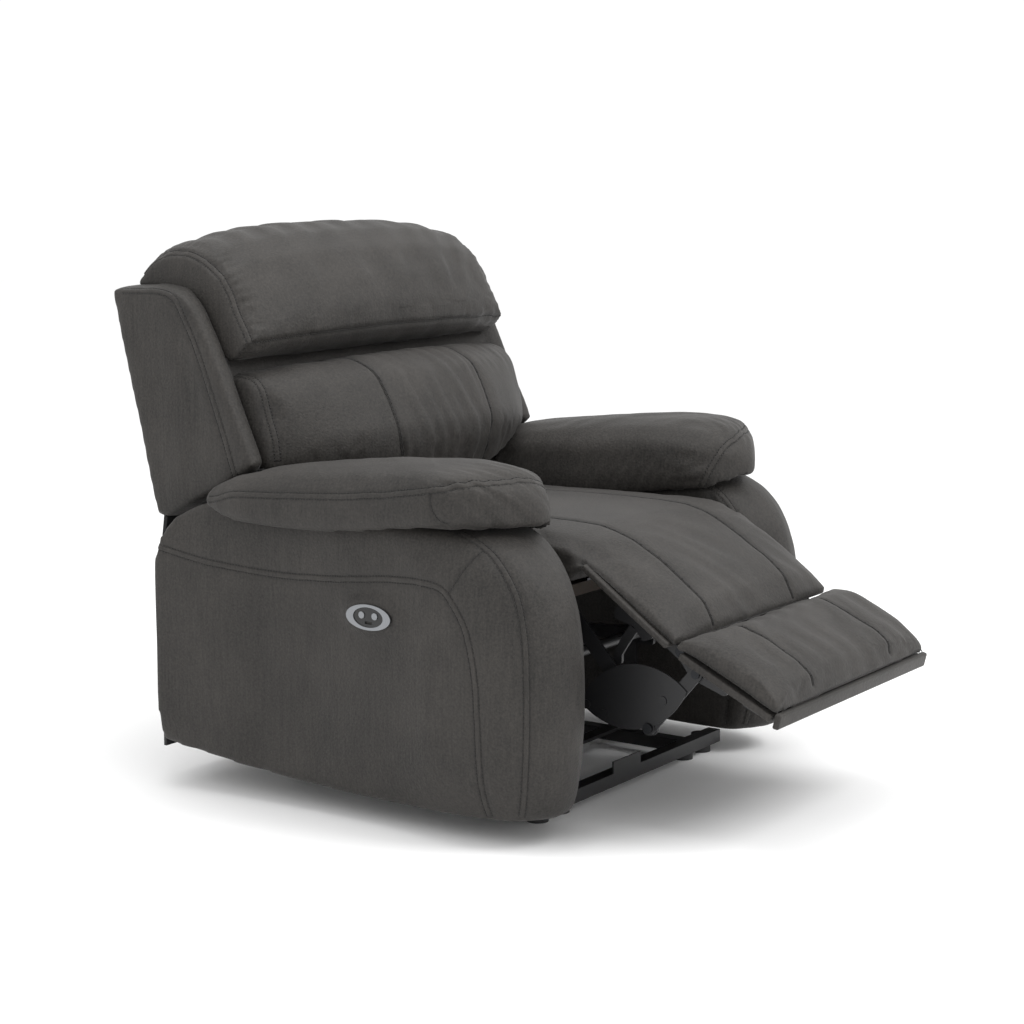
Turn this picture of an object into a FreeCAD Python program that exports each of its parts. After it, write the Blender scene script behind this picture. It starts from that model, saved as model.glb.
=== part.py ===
import FreeCAD, Part
import os
import re
import Sketcher

# Powered recliner armchair, in millimetres.
# +Z is up, the chair faces -Y, and the sitter's left hand is at +X.
# The origin is on the floor, under the middle of the chair's box.
# It stands with the leg rest part way out and the back upright.

SIZES = {
    # seat space and arms
    "gap_width": 583, "arm_width": 208, "arm_wall": 12, "arm_front": 356, "arm_arc": 145,
    "arm_underside": 46, "arm_rear_underside": 85, "arm_brow": 190, "arm_toe": 60,
    "panel_board": 18, "frame_front": 200, "frame_rise": 60, "frame_drop": 70,
    "pad_overhang": 21, "pad_lip": 20, "pad_front": 290, "pad_rear": 288, "pad_height": 102,
    "soft_gap": 0.5, "close_gap": 0.3,
    # back hinge and back
    "pivot_y": 360, "pivot_z": 390, "back_over": 148.5, "head_over": 105.5, "cavity_over": 10.5,
    "back_board": 40, "spring_wire": 4, "skirt_over": 136.5,
    # rear panel
    "panel_over": 138.5, "panel_face": 539, "panel_sheet": 6, "panel_low": 57, "panel_high": 285,
    "batten_width": 40, "batten_low": 80, "batten_high": 250,
    # steel base
    "steel": 4, "rail_depth": 26, "rail_low": 14, "rail_high": 38, "rail_sheet": 3,
    "side_rail_middle": 216, "cross_over": 28.5, "base_front": 212, "base_rear": 330,
    "glide_radius": 19, "glide_outer": 283, "brace_depth": 30, "brace_sheet": 6,
    "brace_front": 55, "brace_rear": 268, "tab_width": 94, "tab_rise": 22,
    # side plates, links and their layers, measured out from the middle of the chair
    "plate_inset": 27.5, "layer_step": 5, "link_width": 28, "bolt_radius": 5,
    "running": 0.05, "bolt_head": 9, "head_height": 4,
    "swing_y": 212, "swing_z": 390, "link_reach": 181.5, "link_drop": 202.3,
    "tube_radius": 10, "lever_reach": 16.5, "lever_drop": 98.6,
    "leaf_length": 214, "leaf_height": 112, "leaf_sheet": 2.5,
    "leaf_back": 31.5, "leaf_up": 50.3, "leaf_tilt": 12,
    # seat
    "seat_top": 506, "seat_rear": 300, "seat_front": 244, "seat_frame_low": 372,
    "seat_frame_board": 22, "seat_frame_front": 176, "seat_frame_rear": 325, "seat_rail": 40,
    "cushion_gap": 2.5, "notch_rise": 20, "notch_back": 185,
    # leg rest
    "hinge_y": 299, "hinge_z": 496, "knee_reach": 152, "knee_drop": 170, "legrest_inset": 9.5,
    "ear_reach": 31, "ear_drop": 33.9, "pin_radius": 4, "open_pivot_play": 0.8,
    "ear_width": 24,
    # drive
    "screw_axis": 250, "screw_radius": 5, "channel_width": 30, "channel_height": 24,
    "channel_wall": 2, "channel_front": 120, "gearbox_front": 196, "gearbox_length": 72,
    "gearbox_width": 70, "gearbox_height": 66, "motor_radius": 29, "motor_length": 88,
    "carriage_length": 56, "fork_sheet": 8, "fork_play": 5, "fork_lift": 24,
    # switch on the right arm
    "switch_y": 6.6, "switch_z": 374, "bezel_length": 93.5, "bezel_height": 44,
    "face_length": 62, "face_height": 34, "bezel_thick": 4, "face_thick": 2.5,
    "button_radius": 6, "button_spacing": 27.6, "button_length": 11, "button_proud": 1.5,
    "housing_length": 50, "housing_height": 32, "housing_depth": 28, "housing_wall": 2,
    "usb_length": 16.5, "usb_height": 6.6, "usb_below": 9.5,
    # power box
    "box_length": 110, "box_height": 60, "box_depth": 30, "box_low": 90, "inlet_radius": 8,
}

doc = FreeCAD.newDocument("recliner_armchair")
sheet = doc.addObject("Spreadsheet::Sheet", "params")
for row, (alias, size) in enumerate(SIZES.items(), start=1):
    sheet.set(f"A{row}", alias)
    sheet.set(f"B{row}", str(size))
    sheet.setAlias(f"B{row}", alias)
doc.recompute()

parts = []
SIDES = (("left", 1), ("right", -1))
V = FreeCAD.Vector
ALONG_X = FreeCAD.Rotation(V(0, 1, 0), 90)
ALONG_Y = FreeCAD.Rotation(V(1, 0, 0), -90)
UPRIGHT_YZ = FreeCAD.Rotation(V(1, 1, 1), 120)


def bound(expression):
    """The expression with each size's name pointing into the sheet."""
    return re.sub(r"[a-z_]+", lambda m: "params." + m[0] if m[0] in SIZES else m[0], str(expression))


def value(expression):
    """What the expression comes to now, in millimetres."""
    return float(sheet.evalExpression(str(expression)))


def bind(item, **properties):
    """Bind properties to the sheet, with x, y and z for the placement."""
    for name, expression in properties.items():
        path = "Placement.Base." + name if name in "xyz" else name
        item.setExpression(path, bound(expression))
    return item


def outward(side, start, width):
    """Low X of a piece that begins start from the middle and runs width outwards."""
    return f"{start}" if side > 0 else f"0 - ({start}) - ({width})"


def box(name, x, y, z, length, width, height):
    return bind(doc.addObject("Part::Box", name), x=x, y=y, z=z, Length=length, Width=width, Height=height)


def rod(name, x, y, z, radius, length):
    """A round bar whose axis runs along X from x."""
    bar = doc.addObject("Part::Cylinder", name)
    bar.Placement.Rotation = ALONG_X
    return bind(bar, x=x, y=y, z=z, Radius=radius, Height=length)


def rod_back(name, x, y, z, radius, length):
    """A round bar whose axis runs along Y from y."""
    bar = doc.addObject("Part::Cylinder", name)
    bar.Placement.Rotation = ALONG_Y
    return bind(bar, x=x, y=y, z=z, Radius=radius, Height=length)


def post(name, x, y, z, radius, length):
    """A round bar that stands on z."""
    return bind(doc.addObject("Part::Cylinder", name), x=x, y=y, z=z, Radius=radius, Height=length)


def oval(name, x, y, z, length, height, depth):
    """An elliptical disc, length along Y and height along Z, depth along X from x."""
    ring = doc.addObject("Part::Ellipse", name + "_outline")
    ring.Placement.Rotation = UPRIGHT_YZ
    bind(ring, x=x, y=y, z=z, MajorRadius=f"({length}) / 2", MinorRadius=f"({height}) / 2")
    disc = doc.addObject("Part::Extrusion", name)
    disc.Base = ring
    disc.DirMode = "Custom"
    disc.Dir = V(1, 0, 0)
    disc.Solid = True
    return bind(disc, LengthFwd=depth)


def cut(name, base, tool):
    piece = doc.addObject("Part::Cut", name)
    piece.Base = base
    piece.Tool = tool
    return piece


def joined(name, *pieces):
    if len(pieces) == 1:
        return pieces[0]
    piece = doc.addObject("Part::MultiFuse", name)
    piece.Shapes = list(pieces)
    piece.Refine = True
    return piece


def group(name, *pieces):
    """Separate solids that share one node."""
    piece = doc.addObject("Part::Compound", name)
    piece.Links = list(pieces)
    return piece


def plate(name, start, width, outline):
    """An outline in Y and Z, pushed along X from start by width.

    Each point is (y, z) or (y, z, radius of the rounded corner).
    """
    body = doc.addObject("PartDesign::Body", name)
    sketch = body.newObject("Sketcher::SketchObject", name + "_sketch")
    sketch.AttachmentSupport = [(origin_plane(body, "YZ_Plane"), "")]
    sketch.MapMode = "FlatFace"
    sketch.setExpression("AttachmentOffset.Base.z", bound(start))
    corners = [V(value(point[0]), value(point[1]), 0) for point in outline]
    count = len(corners)
    for index, corner in enumerate(corners):
        sketch.addGeometry(Part.LineSegment(corner, corners[(index + 1) % count]), False)
    for index in range(count):
        sketch.addConstraint(Sketcher.Constraint("Coincident", index, 2, (index + 1) % count, 1))
    for index, corner in enumerate(corners):
        for kind, size, expression in (("DistanceX", corner.x, outline[index][0]),
                                       ("DistanceY", corner.y, outline[index][1])):
            number = sketch.addConstraint(Sketcher.Constraint(kind, -1, 1, index, 1, size))
            sketch.setExpression(f"Constraints[{number}]", bound(expression))
    pad = body.newObject("PartDesign::Pad", name + "_pad")
    pad.Profile = sketch
    pad.setExpression("Length", bound(width))
    doc.recompute()
    radii = {}
    for corner, point in zip(corners, outline):
        if len(point) > 2:
            radii.setdefault(point[2], []).append(corner)
    last = pad
    for number, (radius, spots) in enumerate(radii.items()):
        fillet = body.newObject("PartDesign::Fillet", f"{name}_round_{number}")
        fillet.Base = (last, [edge_at(last.Shape, spot) for spot in spots])
        fillet.setExpression("Radius", bound(radius))
        doc.recompute()
        last = fillet
    return body


def origin_plane(body, role):
    return [feature for feature in body.Origin.OriginFeatures if feature.Role == role][0]


def edge_at(shape, corner):
    """The name of the edge that runs along X through a corner of the outline."""
    for number, edge in enumerate(shape.Edges, start=1):
        ends = [vertex.Point for vertex in edge.Vertexes]
        near = all(abs(end.y - corner.x) < 0.01 and abs(end.z - corner.y) < 0.01 for end in ends)
        if near and len(ends) == 2 and abs(ends[0].x - ends[1].x) > 0.1:
            return f"Edge{number}"
    raise ValueError(f"no edge at {corner}")


def keep(piece, label):
    """Mark a piece as a sub-part, under its node's name."""
    piece.Label = label
    parts.append(piece)
    return piece


def shifted(y, z, points):
    """Outline points given from the place (y, z)."""
    return [(f"{y} + {point[0]}", f"{z} + {point[1]}", *point[2:]) for point in points]


def bolt(name, side, y, z, start, length):
    """A shank with a flat head at both ends, start being its inner end."""
    low = outward(side, start, length)
    shank = rod(name + "_shank", low, y, z, "bolt_radius", length)
    heads = [rod(name + "_inner", outward(side, start, "head_height"), y, z, "bolt_head", "head_height"),
             rod(name + "_outer", outward(side, f"({start}) + ({length}) - head_height", "head_height"),
                 y, z, "bolt_head", "head_height")]
    return joined(name, shank, *heads)


# Distances from the middle of the chair to the inner face of each layer of steel.
HALF_GAP = "gap_width / 2"
PLATE = "(gap_width / 2 - plate_inset)"
MAIN_LINK = "(gap_width / 2 - plate_inset - 22)"
FRONT_LINK = "(gap_width / 2 - plate_inset - 22 + layer_step)"
LEAF = "(gap_width / 2 - plate_inset - 22 + layer_step + steel)"
CHAISE_EAR = "(gap_width / 2 - plate_inset - 22 - 6)"
ARM_OUTSIDE = "(gap_width / 2 + arm_width)"
BACK_HALF = "(gap_width / 2 + back_over)"
HEAD_HALF = "(gap_width / 2 + head_over)"
CAVITY_HALF = "(gap_width / 2 + cavity_over)"
SKIRT_HALF = "(gap_width / 2 + skirt_over)"
PANEL_HALF = "(gap_width / 2 + panel_over)"
CROSS_HALF = "(gap_width / 2 + cross_over)"
LEGREST_HALF = "(gap_width / 2 - legrest_inset)"
ARM_TOP = "(pivot_z + arm_arc)"
ARM_REAR = "(pivot_y + arm_arc)"

# Pin places in the side view.
HINGE = ("0 - hinge_y", "hinge_z")
KNEE = ("0 - hinge_y - knee_reach", "hinge_z - knee_drop")
SWING = ("0 - swing_y", "swing_z")
ELBOW = ("0 - swing_y - link_reach", "swing_z - link_drop")
EAR_PIN = ("0 - hinge_y - knee_reach - ear_reach", "hinge_z - knee_drop - ear_drop")
TUBE = ("0 - swing_y - lever_reach", "swing_z - lever_drop")


# ---- steel base -------------------------------------------------------------------------
def base_frame():
    rear = "base_rear"
    rails = []
    for name, side in SIDES:
        rail = box(f"side_rail_{name}", outward(side, "side_rail_middle - rail_depth / 2", "rail_depth"),
                   "0 - base_front + rail_depth", "rail_low", "rail_depth",
                   "base_front + base_rear - 2 * rail_depth", "rail_high - rail_low")
        hollow = box(f"side_rail_hollow_{name}",
                     outward(side, "side_rail_middle - rail_depth / 2 + rail_sheet", "rail_depth"),
                     "0 - base_front", "rail_low - rail_sheet", "rail_depth",
                     "base_front + base_rear", "rail_high - rail_low")
        rails.append(cut(f"base_rail_{name}", rail, hollow))
    keep(group("rails", *rails), "base_side_rails")
    front_wall = box("front_wall", f"0 - {CROSS_HALF}", "0 - base_front", "rail_low",
                     f"2 * {CROSS_HALF}", "rail_sheet", "rail_high - rail_low")
    front_top = box("front_top", f"0 - {CROSS_HALF}", "0 - base_front", "rail_high - rail_sheet",
                    f"2 * {CROSS_HALF}", "rail_depth", "rail_sheet")
    tab = plate("front_tab", "0 - tab_width * 0.75", "tab_width",
                [("0 - base_front", "rail_high - rail_sheet"),
                 ("0 - base_front + rail_sheet", "rail_high - rail_sheet"),
                 ("0 - base_front + rail_sheet", "rail_high + tab_rise"),
                 ("0 - base_front", "rail_high + tab_rise")])
    keep(joined("front_angle", front_wall, front_top, tab), "front_cross_rail")
    rear_wall = box("rear_wall", f"0 - {CROSS_HALF}", f"{rear} - rail_sheet", "rail_low",
                    f"2 * {CROSS_HALF}", "rail_sheet", "rail_high - rail_low")
    rear_top = box("rear_top", f"0 - {CROSS_HALF}", f"{rear} - rail_depth", "rail_high - rail_sheet",
                   f"2 * {CROSS_HALF}", "rail_depth", "rail_sheet")
    keep(joined("rear_angle", rear_wall, rear_top), "rear_cross_rail")
    glides = []
    for name, side in SIDES:
        for place in ("side_rail_middle", "glide_outer"):
            for end, y in (("front", "0 - base_front + glide_radius + rail_sheet"),
                           ("rear", "base_rear - glide_radius - rail_sheet")):
                roof = "rail_high - rail_sheet"
                if place == "side_rail_middle":
                    roof = "rail_low"
                glides.append(post(f"glide_{place}_{name}_{end}", f"{side} * {place}", y, "0",
                                   "glide_radius", roof))
    keep(group("glides", *glides), "floor_glides")
    braces = [box(f"brace_{end}", f"0 - {CROSS_HALF} + 20", y, "rail_high", f"2 * {CROSS_HALF} - 40",
                  "brace_depth", "brace_sheet")
              for end, y in (("front", "0 - brace_front"), ("rear", "brace_rear"))]
    keep(group("braces", *braces), "cross_braces")


def side_plates():
    foot = "rail_high + brace_sheet"
    for name, side in SIDES:
        outline = [("0 - swing_y - 20", "swing_z - 20", 14), ("0 - swing_y - 20", "swing_z + 18", 14),
                   ("pivot_y + 22", "swing_z + 18", 14), ("pivot_y + 22", "pivot_z - 24", 14),
                   ("brace_rear + brace_depth", "swing_z - 85"), ("brace_rear + brace_depth", foot),
                   ("brace_rear", foot), ("brace_rear", "swing_z - 85", 20),
                   ("0 - brace_front + brace_depth", "swing_z - 85", 20),
                   ("0 - brace_front + brace_depth", foot), ("0 - brace_front", foot),
                   ("0 - brace_front", "swing_z - 60")]
        low = outward(side, PLATE, "steel")
        blank = plate(f"side_plate_{name}_blank", low, "steel", outline)
        holes = joined(f"side_plate_{name}_holes",
                       rod(f"plate_swing_{name}", low, *SWING, "bolt_radius + running", "steel"),
                       rod(f"plate_pivot_{name}", low, "pivot_y", "pivot_z", "bolt_radius + running",
                           "steel"))
        keep(cut(f"side_plate_{name}_cut", blank, holes), f"mechanism_plate_{name}")
    bolts = []
    for name, side in SIDES:
        bolts.append(bolt(f"swing_bolt_{name}", side, *SWING, f"{MAIN_LINK} - head_height - close_gap",
                          "22 + steel + 2 * head_height + close_gap"))
        bolts.append(bolt(f"pivot_bolt_{name}", side, "pivot_y", "pivot_z", f"{PLATE} - head_height",
                          "2 * steel + 1 + 2 * head_height + 2 * close_gap"))
    keep(group("pivots", *bolts), "pivot_bolts")


# ---- arms -------------------------------------------------------------------------------
def arms():
    boards = []
    for name, side in SIDES:
        block = plate(f"arm_{name}_block", outward(side, HALF_GAP, "arm_width"), "arm_width",
                      [(ARM_REAR, "arm_rear_underside"), (ARM_REAR, ARM_TOP, "arm_arc"),
                       ("0 - arm_front", ARM_TOP, "arm_brow"), ("0 - arm_front", "arm_underside", "arm_toe"),
                       ("0", "arm_underside")])
        slot_low = outward(side, f"{HALF_GAP} + arm_wall - close_gap", "panel_board + 2 * close_gap")
        slot = box(f"arm_{name}_slot", slot_low, "0 - frame_front - close_gap", "0",
                   "panel_board + 2 * close_gap", f"frame_front + {ARM_REAR} - frame_rise + 2 * close_gap",
                   f"{ARM_TOP} - frame_drop + close_gap")
        tools = [slot]
        if name == "right":
            tools.append(box("switch_pocket", f"0 - {ARM_OUTSIDE} - 1",
                             "switch_y - housing_length / 2 - close_gap",
                             "switch_z - housing_height / 2 - close_gap", "housing_depth + close_gap + 1",
                             "housing_length + 2 * close_gap", "housing_height + 2 * close_gap"))
        for number, y in enumerate(("0 - brace_front", "brace_rear")):
            tools.append(rod(f"arm_{name}_hole_{number}", outward(side, HALF_GAP, "arm_wall"),
                             f"{y} + brace_depth / 2", "swing_z - 110", "bolt_radius + close_gap", "arm_wall"))
        keep(cut(f"arm_{name}_cut", block, joined(f"arm_{name}_tools", *tools)), f"arm_body_{name}")
        boards.append(box(f"arm_board_{name}", outward(side, f"{HALF_GAP} + arm_wall", "panel_board"),
                          "0 - frame_front", "arm_rear_underside + 5", "panel_board",
                          f"frame_front + {ARM_REAR} - frame_rise",
                          f"{ARM_TOP} - frame_drop - arm_rear_underside - 5"))
        pad_side = outward(side, f"{HALF_GAP} - pad_overhang", "arm_width + pad_overhang + pad_lip")
        low = f"{ARM_TOP} + close_gap"
        pad = plate(f"arm_pad_{name}_block", pad_side, "arm_width + pad_overhang + pad_lip",
                    [("pad_rear", low), ("0 - pad_front + 120", low), ("0 - pad_front", f"{low} + 18", 16),
                     ("0 - pad_front + 4", f"{low} + 58", 30), ("0 - pad_front + 72", f"{low} + 92", 60),
                     ("0 - pad_front + 150", f"{ARM_TOP} + pad_height", 60),
                     ("pad_rear - 120", f"{ARM_TOP} + pad_height - 22"), ("pad_rear", f"{ARM_TOP} + 62", 30)])
        keep(pad, f"arm_pad_{name}")
    keep(group("boards", *boards), "arm_frame_panels")
    bolts = []
    for name, side in SIDES:
        for number, y in enumerate(("0 - brace_front", "brace_rear")):
            start = f"{PLATE} + steel"
            length = "plate_inset - steel + arm_wall"
            bolts.append(rod(f"arm_bolt_{name}_{number}", outward(side, start, length),
                             f"{y} + brace_depth / 2", "swing_z - 110", "bolt_radius", length))
    keep(group("arm_fixings", *bolts), "arm_bolts")


# ---- rear panel and power box -------------------------------------------------------------
def rear_panel():
    sheet_face = box("panel_sheet_board", f"0 - {PANEL_HALF}", "panel_face", "panel_low", f"2 * {PANEL_HALF}",
                     "panel_sheet", "panel_high - panel_low")
    hole = rod_back("inlet_hole", "0", "panel_face - 1", "box_low + box_height / 2",
                    "inlet_radius + close_gap", "panel_sheet + 2")
    keep(cut("rear_panel_cut", sheet_face, hole), "rear_panel")
    battens = [box(f"batten_{name}", outward(side, f"{HALF_GAP} + 40", "batten_width"), ARM_REAR,
                   "batten_low", "batten_width", f"panel_face - {ARM_REAR}", "batten_high - batten_low")
               for name, side in SIDES]
    keep(group("battens", *battens), "rear_battens")
    keep(box("power_box", "0 - box_length / 2", "panel_face - box_depth", "box_low", "box_length",
             "box_depth", "box_height"), "control_box")
    socket = rod_back("inlet_barrel", "0", "panel_face", "box_low + box_height / 2", "inlet_radius",
                      "panel_sheet + 2")
    bore = rod_back("inlet_bore", "0", "panel_face + 2", "box_low + box_height / 2", "inlet_radius - 3",
                    "panel_sheet + 2")
    keep(cut("inlet_cut", socket, bore), "power_inlet")


# ---- seat -------------------------------------------------------------------------------
def seat():
    top = "(seat_frame_low + seat_frame_board)"
    depth = "seat_frame_front + seat_frame_rear"
    outer = box("seat_outer", f"0 - {PLATE}", "0 - seat_frame_front", "seat_frame_low", f"2 * {PLATE}",
                depth, "seat_frame_board")
    inner = box("seat_inner", f"0 - {PLATE} + seat_rail", "0 - seat_frame_front + seat_rail",
                "seat_frame_low - 1", f"2 * {PLATE} - 2 * seat_rail", f"{depth} - 2 * seat_rail",
                "seat_frame_board + 2")
    keep(cut("seat_ring", outer, inner), "seat_frame")
    springs = []
    clips = []
    for number in range(5):
        x = f"({number} - 2) * gap_width / 6"
        springs.append(rod_back(f"seat_spring_{number}", x, "0 - seat_frame_front + 12",
                                f"{top} + spring_wire / 2", "spring_wire / 2", f"{depth} - 24"))
        for end, y in (("front", "0 - seat_frame_front"), ("rear", "seat_frame_rear - 12")):
            clips.append(box(f"seat_clip_{number}_{end}", f"{x} - 8", y, top, "16", "12", "spring_wire"))
    keep(group("springs", *springs), "seat_springs")
    keep(group("clips", *clips), "spring_clips")
    low = f"{top} + spring_wire + 1"
    foam = plate("seat_block", f"0 - {HALF_GAP} + cushion_gap", "gap_width - 2 * cushion_gap",
                 [("seat_rear", low), ("0 - notch_back", low), ("0 - notch_back", f"{low} + notch_rise"),
                  ("0 - seat_front", f"{low} + notch_rise"), ("0 - seat_front", "seat_top", 20),
                  ("seat_rear", "seat_top", 20)])
    rebates = [box(f"seat_rebate_{name}", outward(side, f"{PLATE} - soft_gap", "plate_inset + 1"),
                   "0 - seat_front - 1", f"{low} - 1", "plate_inset + 1", "seat_front + seat_rear + 2",
                   f"swing_z + 18 + soft_gap - {low} + 1") for name, side in SIDES]
    keep(cut("seat_cushion_cut", foam, joined("seat_rebates", *rebates)), "seat_cushion")


# ---- leg rest ---------------------------------------------------------------------------
def leg_rest():
    """Two padded boards: the chaise hangs from the seat's edge, the footrest from the knee."""
    width = f"2 * {LEGREST_HALF}"
    keep(plate("chaise_board_block", f"0 - {LEGREST_HALF}", width,
               shifted(*HINGE, [(26.7, -44.3), (19.8, -34.5), (-147.4, -152.2), (-140.5, -162)])),
         "chaise_board")
    keep(plate("chaise_block", f"0 - {LEGREST_HALF}", width,
               shifted(*HINGE, [(19.4, -33.9), (0, -2), (-68, -48), (-128, -100), (-159, -142, 8),
                                (-147.8, -151.6)])),
         "chaise_pad")
    keep(plate("footrest_board_block", f"0 - {LEGREST_HALF}", width,
               shifted(*KNEE, [(-12.6, -6.1), (-19.1, 7.4), (-191.2, -75.5), (-184.7, -89)])),
         "footrest_board")
    keep(plate("border_block", f"0 - {LEGREST_HALF}", width,
               shifted(*KNEE, [(-185, -89.2), (-191.5, -75.7), (-202.3, -80.9), (-195.8, -94.4)])),
         "footrest_border")
    keep(plate("footrest_block", f"0 - {LEGREST_HALF}", width,
               shifted(*KNEE, [(-19.3, 7.8), (-17, 24, 6), (-58, 27), (-103, 9), (-164, -25),
                               (-203, -58, 12), (-202.5, -80.2), (-191.4, -75.1)])),
         "footrest_pad")


def bar(name, start, thickness, first, second, breadth):
    """A straight flat link between two pins, with rounded ends."""
    run = f"(({second[0]}) - ({first[0]}))"
    rise = f"(({second[1]}) - ({first[1]}))"
    reach = f"sqrt({run}^2 + {rise}^2)"
    across = f"({rise} / {reach} * ({breadth}) / 2)"
    along = f"({run} / {reach} * ({breadth}) / 2)"
    outline = [(f"{first[0]} - {across}", f"{first[1]} + {along}"),
               (f"{second[0]} - {across}", f"{second[1]} + {along}"),
               (f"{second[0]} + {across}", f"{second[1]} - {along}"),
               (f"{first[0]} + {across}", f"{first[1]} - {along}")]
    middle = plate(name + "_bar", start, thickness, outline)
    ends = [rod(f"{name}_end_{number}", start, *pin, f"({breadth}) / 2", thickness)
            for number, pin in enumerate((first, second))]
    return joined(name, middle, *ends)


def drilled(name, base, start, thickness, *holes):
    """The base with round holes through it, each hole ((y, z), radius)."""
    tools = [rod(f"{name}_drill_{number}", start, *place, radius, thickness)
             for number, (place, radius) in enumerate(holes)]
    return cut(name, base, joined(name + "_drills", *tools))


def legrest_brackets():
    pins = []
    ear_pins = []
    stays = []
    chaise_ears = []
    footrest_ears = []
    running = "bolt_radius + running"
    for name, side in SIDES:
        low = outward(side, CHAISE_EAR, "steel")
        ear = plate(f"chaise_ear_{name}", low, "steel",
                    shifted(*KNEE, [(65.4, 45.8), (10, 6.8), (-4, -11), (10, -14), (72, 30, 8)]))
        eye = rod(f"chaise_eye_{name}", low, *KNEE, "ear_width / 2", "steel")
        flange = plate(f"chaise_flange_{name}", outward(side, CHAISE_EAR, "26"), "26",
                       shifted(*KNEE, [(65.4, 45.8), (24.5, 17), (26.2, 14.6), (67.1, 43.4)]))
        stay = plate(f"stay_{name}", outward(side, f"{CHAISE_EAR} - 10", "6"), "6",
                     shifted(*HINGE, [(-34, -87.2), (-80, -119.6), (-88, -158, 4), (-70, -166, 4),
                                      (-50, -142), (-12, -131, 4), (-14, -118, 4)]))
        hook = plate(f"hook_{name}", outward(side, f"{CHAISE_EAR} - 10", "6"), "6",
                     shifted(*HINGE, [(-58, -150), (-42, -172), (-28, -194), (-28, -211, 6), (-14, -211, 6),
                                      (-13, -190, 12), (-28, -162), (-44, -140)]))
        stays.append(joined(f"stay_{name}_whole", stay, hook))
        chaise_ears.append(drilled(f"chaise_bracket_{name}",
                                   joined(f"chaise_bracket_{name}_whole", ear, eye, flange),
                                   low, "steel", (KNEE, running)))

        low = outward(side, MAIN_LINK, "steel")
        ear = plate(f"footrest_ear_{name}", low, "steel",
                    shifted(*KNEE, [(-12.6, -6.1), (-100, -48.2), (-84, -66, 8), (-38, -50, 12),
                                    (-18, -42, 12), (6, -10)]))
        clip = plate(f"footrest_clip_{name}", low, "steel",
                     shifted(*KNEE, [(-112, -54), (-155, -74.7), (-150, -90, 6), (-118, -76, 6)]))
        eye = rod(f"footrest_eye_{name}", low, *KNEE, "ear_width / 2", "steel")
        flange = plate(f"footrest_flange_{name}", outward(side, MAIN_LINK, "26"), "26",
                       shifted(*KNEE, [(-12.6, -6.1), (-155, -74.7), (-153.7, -77.4), (-11.3, -8.8)]))
        whole = joined(f"footrest_bracket_{name}_whole", ear, clip, eye, flange)
        footrest_ears.append(drilled(f"footrest_bracket_{name}", whole, low, "steel", (KNEE, running),
                                     (EAR_PIN, "pin_radius + running")))
        pins.append(bolt(f"knee_pin_{name}", side, *KNEE, f"{CHAISE_EAR} - head_height",
                         "6 + steel + 2 * head_height + close_gap"))
        shank = rod(f"ear_shank_{name}", outward(side, f"{MAIN_LINK} - 2", "2 + layer_step + steel + 2.4"),
                    *EAR_PIN, "pin_radius", "2 + layer_step + steel + 2.4")
        heads = [rod(f"ear_head_{name}_{number}", outward(side, start, "2"), *EAR_PIN, "2 * pin_radius", "2")
                 for number, start in enumerate((f"{MAIN_LINK} - 2", f"{LEAF} + 0.4"))]
        ear_pins.append(joined(f"ear_pin_{name}", shank, *heads))
    keep(group("stays", *stays), "legrest_stays")
    keep(group("chaise_ears", *chaise_ears), "chaise_brackets")
    keep(group("footrest_ears", *footrest_ears), "footrest_brackets")
    keep(group("knees", *pins), "knee_pins")
    keep(group("ears", *ear_pins), "footrest_pins")


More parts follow.
